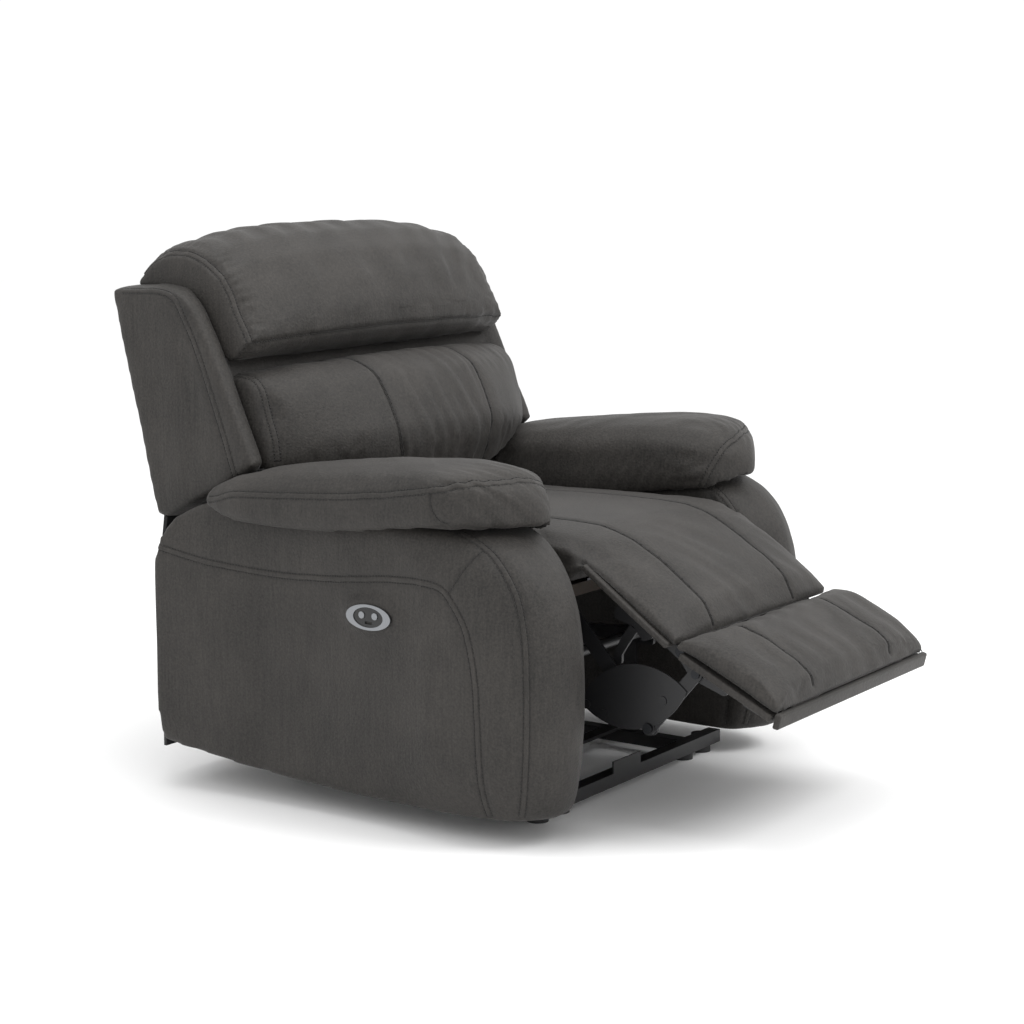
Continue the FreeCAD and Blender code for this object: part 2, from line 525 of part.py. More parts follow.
def links():
    """The main links swing from the side plates and carry the front links that lift the footrest."""
    running = "bolt_radius + running"
    elbows = []
    rivets = []
    main_links = []
    front_links = []
    covers = []
    for name, side in SIDES:
        low = outward(side, MAIN_LINK, "steel")
        long_arm = bar(f"main_arm_{name}", low, "steel", SWING, ELBOW, "link_width")
        lever = bar(f"drive_arm_{name}", low, "steel", SWING, TUBE, "link_width")
        main_links.append(drilled(f"main_link_{name}", joined(f"main_link_{name}_whole", long_arm, lever),
                                  low, "steel", (SWING, running), (ELBOW, running)))
        elbows.append(bolt(f"elbow_pin_{name}", side, *ELBOW, f"{MAIN_LINK} - head_height",
                           "layer_step + steel + leaf_sheet + 2 * head_height + close_gap"))
        low = outward(side, FRONT_LINK, "steel")
        front_links.append(drilled(f"front_link_{name}",
                                   bar(f"front_link_{name}_whole", low, "steel", ELBOW, EAR_PIN, "ear_width"),
                                   low, "steel", (ELBOW, running),
                                   (EAR_PIN, "pin_radius + open_pivot_play")))
        low = outward(side, LEAF, "leaf_sheet")
        radius = "((leaf_length^2 + leaf_height^2) / (4 * leaf_height))"
        offset = f"({radius} - leaf_height / 2)"
        arcs = []
        for number, way in enumerate((1, -1)):
            arcs.append(rod(f"leaf_arc_{name}_{number}", low,
                            f"{ELBOW[0]} + leaf_back + {way} * {offset} * sin(leaf_tilt)",
                            f"{ELBOW[1]} + leaf_up + {way} * {offset} * cos(leaf_tilt)", radius, "leaf_sheet"))
        lens = doc.addObject("Part::MultiCommon", f"leaf_lens_{name}")
        lens.Shapes = arcs
        eye = rod(f"leaf_eye_{name}", low, *ELBOW, "ear_width / 2", "leaf_sheet")
        covers.append(drilled(f"leaf_{name}", joined(f"leaf_{name}_whole", lens, eye), low, "leaf_sheet",
                              (ELBOW, running)))
        for number, (back, up) in enumerate(((123.5, 25.3), (87.5, 12.3), (-27.5, 51.3))):
            rivets.append(rod(f"rivet_{name}_{number}", outward(side, f"{LEAF} + leaf_sheet", "2"),
                              f"{ELBOW[0]} + {back}", f"{ELBOW[1]} + {up}", "2 * pin_radius", "2"))
    keep(group("swinging_links", *main_links), "main_links")
    keep(group("lifting_links", *front_links), "front_links")
    keep(group("leaves", *covers), "link_covers")
    keep(group("elbows", *elbows), "elbow_pins")
    keep(group("rivet_heads", *rivets), "cover_rivets")
    across = f"2 * {MAIN_LINK}"
    tube = rod("drive_tube_solid", f"0 - {MAIN_LINK}", *TUBE, "tube_radius", across)
    hollow = rod("drive_tube_hollow", f"0 - {MAIN_LINK} - 1", *TUBE, "tube_radius - channel_wall",
                 f"{across} + 2")
    keep(cut("drive_tube_cut", tube, hollow), "drive_tube")


# ---- motor drive ------------------------------------------------------------------------
def drive():
    floor = "(screw_axis - channel_height / 2)"
    length = "(channel_front + gearbox_front)"
    outer = box("channel_outer", "0 - channel_width / 2", "0 - channel_front", floor, "channel_width",
                length, "channel_height")
    inner = box("channel_inner", "0 - channel_width / 2 + channel_wall", "0 - channel_front - 1",
                f"{floor} + channel_wall", "channel_width - 2 * channel_wall", f"{length} + 2",
                "channel_height")
    keep(cut("channel_cut", outer, inner), "actuator_rail")
    keep(rod_back("screw", "0", "0 - channel_front", "screw_axis", "screw_radius", length), "lead_screw")
    keep(box("gearbox", "0 - gearbox_width / 2", "gearbox_front", "screw_axis - gearbox_height / 2",
             "gearbox_width", "gearbox_length", "gearbox_height"), "gearbox_housing")
    keep(post("motor", "0", "gearbox_front + gearbox_length / 2",
              "screw_axis - gearbox_height / 2 - motor_length", "motor_radius", "motor_length"),
         "motor_housing")
    deck = "(rail_high + brace_sheet)"
    keep(box("motor_plate", "0 - gearbox_width / 2 + 5", "gearbox_front + gearbox_length", deck,
             "gearbox_width - 10", "brace_sheet", f"screw_axis + gearbox_height / 2 - {deck}"),
         "motor_mount_bracket")
    keep(box("rail_post_block", "0 - 10", "0 - brace_front + 5", deck, "20", "brace_depth - 10",
             f"{floor} - {deck}"), "rail_post")
    top = f"({floor} + channel_height + 1)"
    tongue = box("carriage_tongue", "0 - channel_width / 2 + channel_wall + soft_gap",
                 "0 - carriage_length / 2", f"{floor} + channel_wall + soft_gap",
                 "channel_width - 2 * channel_wall - 2 * soft_gap", "carriage_length",
                 f"{top} - {floor} - channel_wall")
    cap = box("carriage_cap", "0 - channel_width / 2 - 3", "0 - carriage_length / 2", top,
              "channel_width + 6", "carriage_length", "12")
    bore = rod_back("carriage_bore", "0", "0 - carriage_length / 2 - 1", "screw_axis",
                    "screw_radius + running", "carriage_length + 2")
    keep(cut("carriage_cut", joined("carriage_whole", tongue, cap), bore), "actuator_carriage")
    slot = "(tube_radius + fork_play)"
    low = f"({TUBE[1]} - tube_radius - fork_play)"
    neck = f"({top} + 12)"
    keep(plate("fork_block", "0 - fork_sheet / 2", "fork_sheet",
               [("carriage_length / 2", neck), ("carriage_length / 2", f"{neck} + 8", 4),
                (f"{TUBE[0]} + {slot} + 12", f"{neck} + 22", 20),
                (f"{TUBE[0]} + {slot} + 10", f"{low} + 2 * tube_radius + fork_lift + 12", 4),
                (f"{TUBE[0]} + {slot}", f"{low} + 2 * tube_radius + fork_lift + 12"),
                (f"{TUBE[0]} + {slot}", low, 6), (f"{TUBE[0]} - {slot}", low, 6),
                (f"{TUBE[0]} - {slot}", f"{low} + 2 * tube_radius + fork_lift + 12"),
                (f"{TUBE[0]} - {slot} - 9", f"{low} + 2 * tube_radius + fork_lift + 12", 4),
                (f"{TUBE[0]} - {slot} - 9", f"{low} - 9", 6), (f"{TUBE[0]} + {slot}", f"{low} - 9"),
                ("0 - carriage_length / 2", neck)]), "push_fork")


# ---- switch on the right arm ------------------------------------------------------------
def switch():
    outside = f"(0 - {ARM_OUTSIDE})"
    ring = oval("bezel_disc", f"{outside} - bezel_thick", "switch_y", "switch_z", "bezel_length",
                "bezel_height", "bezel_thick")
    window = oval("bezel_window", f"{outside} - bezel_thick - 1", "switch_y", "switch_z",
                  "face_length + 2 * close_gap", "face_height + 2 * close_gap", "bezel_thick + 2")
    keep(cut("bezel_cut", ring, window), "switch_bezel")
    face = oval("face_disc", f"{outside} - face_thick", "switch_y", "switch_z", "face_length",
                "face_height", "face_thick")
    face_tools = []
    for name, way in (("open", -1), ("close", 1)):
        place = (f"switch_y + {way} * button_spacing / 2", "switch_z + 3")
        face_tools.append(rod(f"button_hole_{name}", f"{outside} - face_thick - 1", *place,
                              "button_radius + close_gap", "face_thick + 2"))
        keep(rod(f"button_{name}_barrel", f"{outside} - face_thick - button_proud", *place,
                 "button_radius", "button_length"), f"button_{name}")
    usb_y = "switch_y - usb_length / 2"
    usb_z = "switch_z - usb_below - usb_height / 2"
    face_tools.append(box("usb_hole", f"{outside} - face_thick - 1", usb_y, usb_z, "face_thick + 2",
                          "usb_length", "usb_height"))
    keep(cut("face_cut", face, joined("face_tools", *face_tools)), "switch_face")
    shell = box("usb_shell", f"{outside} - face_thick", usb_y, usb_z, "face_thick + 12", "usb_length",
                "usb_height")
    mouth = box("usb_mouth", f"{outside} - face_thick - 1", f"{usb_y} + 1", f"{usb_z} + 1",
                "face_thick + 9", "usb_length - 2", "usb_height - 2")
    keep(cut("usb_cut", shell, mouth), "usb_socket")
    block = box("housing_block", outside, "switch_y - housing_length / 2",
                "switch_z - housing_height / 2", "housing_depth", "housing_length", "housing_height")
    cavity = box("housing_cavity", f"{outside} - 1", "switch_y - housing_length / 2 + housing_wall",
                 "switch_z - housing_height / 2 + housing_wall", "housing_depth + 1 - housing_wall",
                 "housing_length - 2 * housing_wall", "housing_height - 2 * housing_wall")
    keep(cut("housing_cut", block, cavity), "switch_housing")


# ---- back -------------------------------------------------------------------------------
def back():
    pivot = ("pivot_y", "pivot_z")
    core = plate("shell_core", f"0 - {BACK_HALF}", f"2 * {BACK_HALF}",
                 shifted(*pivot, [(160, 97), (177, 104), (284, 506, 10), (195, 517), (147, 519), (111, 506),
                                  (77, 457), (37, 369), (5, 372), (-24, 289), (-57, 203, 12), (-10, 185)]))
    wings = [plate(f"shell_wing_{name}", outward(side, f"{HEAD_HALF} + 2", f"{BACK_HALF} - {HEAD_HALF} - 2"),
                   f"{BACK_HALF} - {HEAD_HALF} - 2",
                   shifted(*pivot, [(160, 480), (158, 520), (111, 516), (76, 496), (42, 445), (5, 372),
                                    (60, 360)])) for name, side in SIDES]
    cavity = plate("shell_cavity", f"0 - {CAVITY_HALF}", f"2 * {CAVITY_HALF}",
                   shifted(*pivot, [(-220, 80), (148.6, 80), (241, 456), (110, 456), (62, 392), (30, 376),
                                    (-220, 376)]))
    keep(cut("shell_cut", joined("shell_whole", core, *wings), cavity), "back_shell")
    keep(plate("head_block", f"0 - {HEAD_HALF}", f"2 * {HEAD_HALF}",
               shifted(*pivot, [(262, 518, 6), (195, 521), (147, 523), (109, 510), (73, 460), (34, 375),
                                (0, 377, 12), (-38, 422, 14), (-25, 466), (0, 516), (40, 575, 30),
                                (100, 612, 40), (150, 618, 40), (205, 592, 40), (252, 545, 20)])),
         "headrest_cushion")
    lumbar_half = f"({HALF_GAP} - pad_overhang - soft_gap)"
    keep(plate("lumbar_block", f"0 - {lumbar_half}", f"2 * {lumbar_half}",
               shifted(*pivot, [(-10, 125), (-140, 125, 20), (-147, 194), (-131, 254), (-104, 308, 30),
                                (-69, 350, 20), (-12, 368), (46, 344)])), "lumbar_cushion")

    frame_half = f"({PLATE} + steel + soft_gap)"
    uprights = [plate(f"back_upright_{name}", outward(side, f"{frame_half} - back_board", "back_board"),
                      "back_board",
                      shifted(*pivot, [(154.6, 109.5), (234.7, 434.8), (205.6, 442), (125.5, 116.7)]))
                for name, side in SIDES]
    inner = f"({frame_half} - back_board)"
    rails = [plate(f"back_rail_{name}", f"0 - {inner}", f"2 * {inner}", shifted(*pivot, outline))
             for name, outline in (("low", [(154.6, 109.5), (169, 168), (139.9, 175.2), (125.5, 116.7)]),
                                   ("high", [(220.3, 376.5), (234.7, 434.8), (205.6, 442),
                                             (191.2, 383.7)]))]
    keep(joined("back_ring", *uprights, *rails), "back_frame")
    springs = [rod(f"back_spring_{number}", f"0 - {inner}", f"pivot_y + 166 + {number} * 12",
                   f"pivot_z + 215 + {number} * 45", "spring_wire / 2", f"2 * {inner}")
               for number in range(4)]
    keep(group("wires", *springs), "back_springs")
    brackets = []
    for name, side in SIDES:
        low = outward(side, frame_half, "steel")
        knuckle = ("pivot_y + 140", "pivot_z + 130")
        lower = bar(f"bracket_lower_{name}", low, "steel", pivot, knuckle, "link_width + 4")
        upper = bar(f"bracket_upper_{name}", low, "steel", knuckle, ("pivot_y + 186", "pivot_z + 310"),
                    "link_width")
        brackets.append(drilled(f"back_bracket_{name}", joined(f"back_bracket_{name}_whole", lower, upper),
                                low, "steel", (pivot, "bolt_radius + running")))
    keep(group("back_ears", *brackets), "back_brackets")
    keep(plate("skirt_block", f"0 - {SKIRT_HALF}", f"2 * {SKIRT_HALF}",
               shifted(*pivot, [(165, 97.5), (173, 100.8), (186, 15), (181, 13)])), "back_skirt")


base_frame()
side_plates()
arms()
rear_panel()
seat()
leg_rest()
legrest_brackets()
links()
drive()
switch()
back()

doc.recompute()
os.makedirs("parts", exist_ok=True)
for item in doc.Objects:
    if "Invalid" in item.State or "Error" in item.State:
        raise RuntimeError(f"{item.Label} did not build: {item.State}")
for piece in parts:
    if piece.Shape.isNull() or not piece.Shape.isValid():
        raise RuntimeError(f"{piece.Label} has no valid shape")
for piece in parts:
    piece.Shape.exportStep(f"parts/{piece.Label}.step")
print(len(parts), "sub-parts")
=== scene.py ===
import math

import bmesh
import bpy
import numpy as np
from mathutils import Matrix, Vector
from mathutils.bvhtree import BVHTree
from mathutils.kdtree import KDTree


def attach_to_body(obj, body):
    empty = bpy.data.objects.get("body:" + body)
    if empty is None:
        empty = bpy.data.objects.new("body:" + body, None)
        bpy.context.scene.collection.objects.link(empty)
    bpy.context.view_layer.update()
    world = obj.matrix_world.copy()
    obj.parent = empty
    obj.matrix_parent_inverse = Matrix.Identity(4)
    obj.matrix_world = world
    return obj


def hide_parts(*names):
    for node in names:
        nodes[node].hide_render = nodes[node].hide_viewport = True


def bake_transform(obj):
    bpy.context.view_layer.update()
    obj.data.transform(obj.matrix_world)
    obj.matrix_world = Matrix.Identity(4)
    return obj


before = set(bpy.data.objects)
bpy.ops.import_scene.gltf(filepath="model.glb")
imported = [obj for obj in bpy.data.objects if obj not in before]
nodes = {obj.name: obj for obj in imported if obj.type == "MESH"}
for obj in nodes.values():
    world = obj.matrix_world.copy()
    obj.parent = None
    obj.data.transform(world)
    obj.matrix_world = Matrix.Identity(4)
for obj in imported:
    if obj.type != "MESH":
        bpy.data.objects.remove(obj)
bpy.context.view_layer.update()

MM = 0.001
scene = bpy.context.scene


# ---- arm bodies ---------------------------------------------------------------------------
# Each arm is a plywood box with foam glued over it, covered in a charcoal leather-look cloth.
# The front is a wide rolled border between two topstitched seams, and the outside panel has a
# curved topstitched line above the switch. The arm is bolted to the steel side plate.
def linear(hex_colour):
    """An sRGB hex colour as linear RGBA."""
    channels = [int(hex_colour[i:i + 2], 16) / 255 for i in (1, 3, 5)]
    return [c / 12.92 if c <= 0.04045 else ((c + 0.055) / 1.055) ** 2.4 for c in channels] + [1.0]


def add(tree, kind, sockets=None, joins=None, **settings):
    """A new node with its settings, its own socket values and what feeds its other sockets."""
    node = tree.nodes.new("ShaderNode" + kind)
    for name, setting in settings.items():
        setattr(node, name, setting)
    for name, number in (sockets or {}).items():
        node.inputs[name].default_value = number
    for name, source in (joins or {}).items():
        tree.links.new(source, node.inputs[name])
    return node


def new_material(name, **sockets):
    """An empty material, its shader and its node tree, with values set on the shader."""
    material = bpy.data.materials.new(name)
    material.use_nodes = True
    shader = material.node_tree.nodes["Principled BSDF"]
    for socket, number in sockets.items():
        shader.inputs[socket.replace("_", " ")].default_value = number
    return material, shader, material.node_tree


def leather_look(name, dark, light, streaks):
    """Polyester cloth with a pressed leather grain: matt, warm charcoal, faintly streaked, and darkened along
    its seams with painted shade.

    The pressed grain is about 1.5 mm across and is drawn at 4 mm so that it shows.
    """
    material, shader, tree = new_material(name, Sheen_Weight=0.05, Sheen_Roughness=0.45)
    shader.inputs["Specular IOR Level"].default_value = 0.28
    place = add(tree, "TexCoord").outputs["Object"]
    grain = add(tree, "TexNoise", {"Scale": 1 / 0.0042, "Detail": 3.0, "Roughness": 0.7},
                {"Vector": place})
    pebble = add(tree, "TexVoronoi", {"Scale": 1 / 0.0046, "Randomness": 1.0}, {"Vector": place})
    stretched = add(tree, "Mapping", {"Scale": (1 / 0.0045, 1 / 0.0045, 1 / 0.07)}, {"Vector": place})
    streak = add(tree, "TexNoise", {"Scale": 1.0, "Detail": 2.0}, {"Vector": stretched.outputs[0]})
    cloud = add(tree, "TexNoise", {"Scale": 1 / 0.11, "Detail": 2.0}, {"Vector": place})
    patch = add(tree, "Mix", {"Factor": streaks}, {"A": cloud.outputs[0], "B": streak.outputs[0]})
    speckle = add(tree, "Mix", {"Factor": 0.55},
                  {"A": patch.outputs[0], "B": grain.outputs[0]})
    spread = add(tree, "MapRange", {"From Min": 0.3, "From Max": 0.7}, {"Value": speckle.outputs[0]})
    colour = add(tree, "Mix", {"A": linear(dark), "B": linear(light)},
                 {"Factor": spread.outputs[0]}, data_type="RGBA")
    # Painted shade: the colour is darkened towards #161514 in a band along each seam groove, read from the
    # attribute that sewn() writes.
    painted_seam_shade = add(tree, "Attribute", attribute_name="painted_seam_shade")
    shade = add(tree, "MapRange", {"To Min": 0.0, "To Max": 0.62}, {"Value": painted_seam_shade.outputs["Fac"]})
    seam_shaded_colour = add(tree, "Mix", {"B": linear("#161514")},
                 {"Factor": shade.outputs[0], "A": colour.outputs["Result"]}, data_type="RGBA")
    tree.links.new(seam_shaded_colour.outputs["Result"], shader.inputs["Base Color"])
    gloss = add(tree, "MapRange", {"To Min": 0.5, "To Max": 0.7}, {"Value": grain.outputs[0]})
    tree.links.new(gloss.outputs[0], shader.inputs["Roughness"])
    height = add(tree, "Math", {1: 0.55}, {0: pebble.outputs["Distance"]}, operation="MULTIPLY")
    relief = add(tree, "Math", None, {0: height.outputs[0], 1: grain.outputs[0]}, operation="ADD")
    bump = add(tree, "Bump", {"Strength": 0.6, "Distance": 0.0011}, {"Height": relief.outputs[0]})
    tree.links.new(bump.outputs[0], shader.inputs["Normal"])
    return material


CLOTH = leather_look("pressed_grain_polyester", "#181716", "#3d3a37", 0.45)
# Bonded nylon thread is nearly black and a little glossier than the cloth.
THREAD, _, _ = new_material("bonded_nylon_thread", Base_Color=linear("#141312"), Roughness=0.55)


def made(bm, name):
    """The finished bmesh as an object."""
    mesh = bpy.data.meshes.new(name)
    bm.to_mesh(mesh)
    bm.free()
    piece = bpy.data.objects.new(name, mesh)
    scene.collection.objects.link(piece)
    return piece


def rounded(points, count):
    """A closed outline divided evenly into count points."""
    loop = np.vstack([points, points[:1]]).astype(float)
    run = np.r_[0, np.cumsum(np.linalg.norm(np.diff(loop, axis=0), axis=1))]
    even = np.linspace(0, run[-1], count, endpoint=False)
    return np.column_stack([np.interp(even, run, loop[:, i]) for i in range(loop.shape[1])])


def skin(name, rings):
    """A closed skin through rings of points in millimetres, with both ends filled."""
    rings = np.asarray(rings, float) * MM
    along, around = rings.shape[:2]
    bm = bmesh.new()
    bmesh.ops.create_grid(bm, x_segments=around, y_segments=along - 1, size=1)
    for vert in bm.verts:
        column = round((vert.co.x + 1) / 2 * around) % around
        row = round((vert.co.y + 1) / 2 * (along - 1))
        vert.co = rings[row, column]
    bmesh.ops.remove_doubles(bm, verts=bm.verts, dist=1e-5)
    rims = [edge for edge in bm.edges if edge.is_boundary]
    ends = bmesh.ops.holes_fill(bm, edges=rims, sides=0)["faces"]
    bmesh.ops.triangulate(bm, faces=ends)
    bmesh.ops.recalc_face_normals(bm, faces=bm.faces)
    return made(bm, name)


def points(piece):
    flat = np.empty(len(piece.data.vertices) * 3)
    piece.data.vertices.foreach_get("co", flat)
    return flat.reshape(-1, 3)


def normals(piece):
    flat = np.empty(len(piece.data.vertices) * 3)
    piece.data.vertex_normals.foreach_get("vector", flat)
    return flat.reshape(-1, 3)


def place(piece, spots):
    piece.data.vertices.foreach_set("co", np.ascontiguousarray(spots).ravel())
    piece.data.update()


def settle(piece):
    """Give the piece the mesh that its modifiers make, and clear them."""
    graph = bpy.context.evaluated_depsgraph_get()
    whole = bpy.data.meshes.new_from_object(piece.evaluated_get(graph), depsgraph=graph)
    piece.modifiers.clear()
    piece.data = whole
    for polygon in whole.polygons:
        polygon.use_smooth = True


def remeshed(piece, voxel):
    """Even out the mesh, voxel in millimetres."""
    remesh = piece.modifiers.new("even", "REMESH")
    remesh.mode = "VOXEL"
    remesh.voxel_size = voxel * MM
    settle(piece)


def relaxed(piece, turns, factor=0.5):
    """Round off edges by smoothing the vertices."""
    bm = bmesh.new()
    bm.from_mesh(piece.data)
    for _ in range(turns):
        bmesh.ops.smooth_vert(bm, verts=bm.verts, factor=factor, use_axis_x=True, use_axis_y=True,
                              use_axis_z=True)
    bm.to_mesh(piece.data)
    bm.free()


def filled(piece, reach, hold=None):
    """Stuff the cover: cloth under air pressure for 20 frames, no point moving more than reach mm.

    hold is a share from 0 to 1 at each point of how much it may move.
    """
    start = points(piece)
    cloth = piece.modifiers.new("filling", "CLOTH")
    cloth.settings.use_pressure = True
    cloth.settings.uniform_pressure_force = 4.0
    cloth.settings.quality = 5
    cloth.settings.tension_stiffness = 12
    cloth.settings.compression_stiffness = 12
    cloth.settings.bending_stiffness = 0.4
    cloth.settings.effector_weights.gravity = 0
    cloth.point_cache.frame_start = 1
    cloth.point_cache.frame_end = 20
    for number in range(1, 21):
        scene.frame_set(number)
    graph = bpy.context.evaluated_depsgraph_get()
    swollen = piece.evaluated_get(graph)
    ends = np.empty(len(start) * 3)
    swollen.data.vertices.foreach_get("co", ends)
    step = ends.reshape(-1, 3) - start
    piece.modifiers.clear()
    scene.frame_set(1)
    far = np.linalg.norm(step, axis=1, keepdims=True) + 1e-9
    step *= reach * MM * np.tanh(far / (reach * MM)) / far
    if hold is not None:
        step *= hold[:, None]
    place(piece, start + step)


def refined(piece):
    """One level of subdivision, applied."""
    surface = piece.modifiers.new("refine", "SUBSURF")
    surface.levels = surface.render_levels = 1
    settle(piece)


def folds(across, along, spacing, seed):
    """Uneven soft creases, from -1 to 1, spacing metres apart across and wandering along."""
    draw = np.random.default_rng(seed)
    total = np.zeros_like(across)
    for _ in range(6):
        pitch = spacing * draw.uniform(0.6, 1.9)
        wander = 0.35 * spacing * np.sin(2 * math.pi * along / draw.uniform(0.16, 0.5) + draw.uniform(0, 6))
        total += np.sin(2 * math.pi * (across + wander) / pitch + draw.uniform(0, 6))
    return np.tanh(total / 2.2)


def lumps(spots, size, seed):
    """Low swells like uneven foam, from -1 to 1, size metres across."""
    draw = np.random.default_rng(seed)
    total = np.zeros(len(spots))
    for _ in range(7):
        way = draw.normal(size=3)
        way /= np.linalg.norm(way)
        total += np.sin(2 * math.pi * spots @ way / (size * draw.uniform(0.7, 1.6)) + draw.uniform(0, 6))
    return total / 4


def step_up(x, low, high):
    """0 below low, 1 above high and smooth between."""
    t = np.clip((x - low) / (high - low), 0, 1)
    return t * t * (3 - 2 * t)


def line_through(knots, step=3.0):
    """Even samples of a smooth curve through knots in millimetres."""
    knots = np.asarray(knots, float)
    ends = np.vstack([2 * knots[0] - knots[1], knots, 2 * knots[-1] - knots[-2]])
    runs = []
    for a, b, c, d in zip(ends, ends[1:], ends[2:], ends[3:]):
        t = np.linspace(0, 1, max(2, int(np.linalg.norm(c - b) / step)), endpoint=False)[:, None]
        runs.append(0.5 * (2 * b + (c - a) * t + (2 * a - 5 * b + 4 * c - d) * t ** 2
                           + (3 * b - a - 3 * c + d) * t ** 3))
    curve = np.vstack(runs + [knots[-1:]])
    run = np.r_[0, np.cumsum(np.linalg.norm(np.diff(curve, axis=0), axis=1))]
    even = np.linspace(0, run[-1], max(3, int(run[-1] / step)))
    return np.column_stack([np.interp(even, run, curve[:, i]) for i in range(3)]) * MM


def on_surface(tree, spots):
    """The nearest places on a surface, with its outward direction there."""
    found = [tree.find_nearest(Vector(spot)) for spot in spots]
    return np.array([f[0] for f in found]), np.array([f[1] for f in found])


def evened(rows, turns):
    """Running average along a line of vectors."""
    for _ in range(turns):
        rows = np.vstack([rows[:1], (rows[:-2] + 2 * rows[1:-1] + rows[2:]) / 4, rows[-1:]])
    return rows


def laid(tree, line):
    """A line on a surface: its places, directions, sideways directions and outward directions."""
    spots, out = on_surface(tree, line)
    spots = evened(spots, 2)
    out = evened(out, 6)
    out /= np.linalg.norm(out, axis=1, keepdims=True)
    ahead = np.gradient(spots, axis=0)
    ahead /= np.linalg.norm(ahead, axis=1, keepdims=True) + 1e-12
    aside = np.cross(ahead, out)
    aside /= np.linalg.norm(aside, axis=1, keepdims=True) + 1e-12
    return spots, ahead, aside, out


def band(bm, tree, line, profile):
    """A narrow strip of cloth along a line, profile being (aside, above) in millimetres."""
    spots, _, aside, out = laid(tree, line)
    rows = []
    for side, height in profile:
        base, _ = on_surface(tree, spots + aside * side * MM)
        rows.append(evened(base, 2) + out * height * MM)
    rows = np.array(rows)
    strip = bmesh.new()
    across, along = len(profile), len(spots)
    bmesh.ops.create_grid(strip, x_segments=across - 1, y_segments=along - 1, size=1)
    for vert in strip.verts:
        column = round((vert.co.x + 1) / 2 * (across - 1))
        row = round((vert.co.y + 1) / 2 * (along - 1))
        vert.co = rows[column, row]
    strip.normal_update()
    strip.faces.ensure_lookup_table()
    middle = strip.faces[len(strip.faces) // 2]
    nearest = tree.find_nearest(middle.calc_center_median())
    if middle.normal.dot(nearest[1]) < 0:
        bmesh.ops.reverse_faces(strip, faces=strip.faces)
    whole = bpy.data.meshes.new("strip")
    strip.to_mesh(whole)
    strip.free()
    bm.from_mesh(whole)
    bpy.data.meshes.remove(whole)


def stitched(bm, tree, line, aside_mm, length, pitch, thick, slant=0.0, lift=0.15):
    """A row of stitches beside a line, each a small bead of thread, sizes in millimetres."""
    spots, ahead, aside, out = laid(tree, line)
    run = np.r_[0, np.cumsum(np.linalg.norm(np.diff(spots, axis=0), axis=1))]
    for at in np.arange(pitch / 2, run[-1] / MM, pitch) * MM:
        i = min(int(np.searchsorted(run, at)), len(spots) - 1)
        base, _, _, _ = tree.find_nearest(Vector(spots[i] + aside[i] * aside_mm * MM))
        heading = ahead[i] * math.cos(slant) + aside[i] * math.sin(slant)
        across = np.cross(out[i], heading)
        columns = np.column_stack([heading * length / 2, across * thick / 2, out[i] * thick / 2]) * MM
        turn = Matrix(columns.tolist()).to_4x4()
        turn.translation = base + Vector(out[i]) * lift * MM
        bmesh.ops.create_icosphere(bm, subdivisions=1, radius=1, matrix=turn)


# Sections of the raised strips, (aside, above), and the stitches of each kind of seam.
WELT = [(-5.4, -1.2), (-4.2, 0.7), (-2.2, 1.5), (0, 1.7), (2.2, 1.5), (4.2, 0.7), (5.4, -1.2)]
BRAID = [(-4.2, -1.0), (-3.2, 0.5), (0, 0.9), (3.2, 0.5), (4.2, -1.0)]
TOPSTITCH = {"length": 5.6, "pitch": 6.2, "thick": 1.9}
PLAIN_STITCH = {"length": 5.8, "pitch": 6.0, "thick": 1.7}
CROSS_STITCH = {"length": 5.0, "pitch": 2.6, "thick": 1.7, "lift": 0.9}


def sewn(piece, seams, attach, groove=2.4):
    """Draw in the cover along its seams, paint shade into the cloth's colour along them, then lay the raised
    strips and the thread.

    Each seam is (kind, knots): welt is a double topstitched seam, braid is a ladder stitch and
    single is one plain seam with a row of thread.
    """
    lines = [(kind, line_through(knots)) for kind, knots in seams]
    surface = BVHTree.FromObject(piece, bpy.context.evaluated_depsgraph_get())
    lines = [(kind, on_surface(surface, line)[0]) for kind, line in lines]
    marks = [(spot, kind) for kind, line in lines for spot in line]
    finder = KDTree(len(marks))
    for number, (spot, _) in enumerate(marks):
        finder.insert(spot, number)
    finder.balance()
    spots = points(piece)
    depth = np.zeros(len(spots))
    painted_seam_shade = np.zeros(len(spots))
    for number, spot in enumerate(spots):
        _, mark, gap = finder.find(spot)
        if gap < 0.03:
            wide = 0.010 if marks[mark][1] == "welt" else 0.007
            depth[number] = groove * MM * math.exp(-(gap / wide) ** 2)
            # Painted shade: a band along each seam where the cloth's colour is darkened, as if in the shade
            # of the groove.
            painted_seam_shade[number] = 0.55 * math.exp(-(gap / (wide * 0.8)) ** 2)
    place(piece, spots - normals(piece) * depth[:, None])
    attribute = piece.data.attributes.get("painted_seam_shade") or piece.data.attributes.new("painted_seam_shade", "FLOAT", "POINT")
    attribute.data.foreach_set("value", painted_seam_shade.astype(np.float32))
    surface = BVHTree.FromObject(piece, bpy.context.evaluated_depsgraph_get())
    strips, thread = bmesh.new(), bmesh.new()
    for kind, line in lines:
        if kind == "welt":
            band(strips, surface, line, WELT)
            for aside_mm in (-5.6, 5.6):
                stitched(thread, surface, line, aside_mm, **TOPSTITCH)
        elif kind == "braid":
            band(strips, surface, line, BRAID)
            stitched(thread, surface, line, -1.9, slant=0.7, **CROSS_STITCH)
            stitched(thread, surface, line, 1.9, slant=-0.7, **CROSS_STITCH)
        else:
            stitched(thread, surface, line, 0.0, **PLAIN_STITCH)
    for bm, label, material in ((strips, "_welts", CLOTH), (thread, "_thread", THREAD)):
        if not bm.verts:
            bm.free()
            continue
        extra = made(bm, piece.name + label)
        for polygon in extra.data.polygons:
            polygon.use_smooth = True
        extra.data.materials.append(material)
        attach(extra)


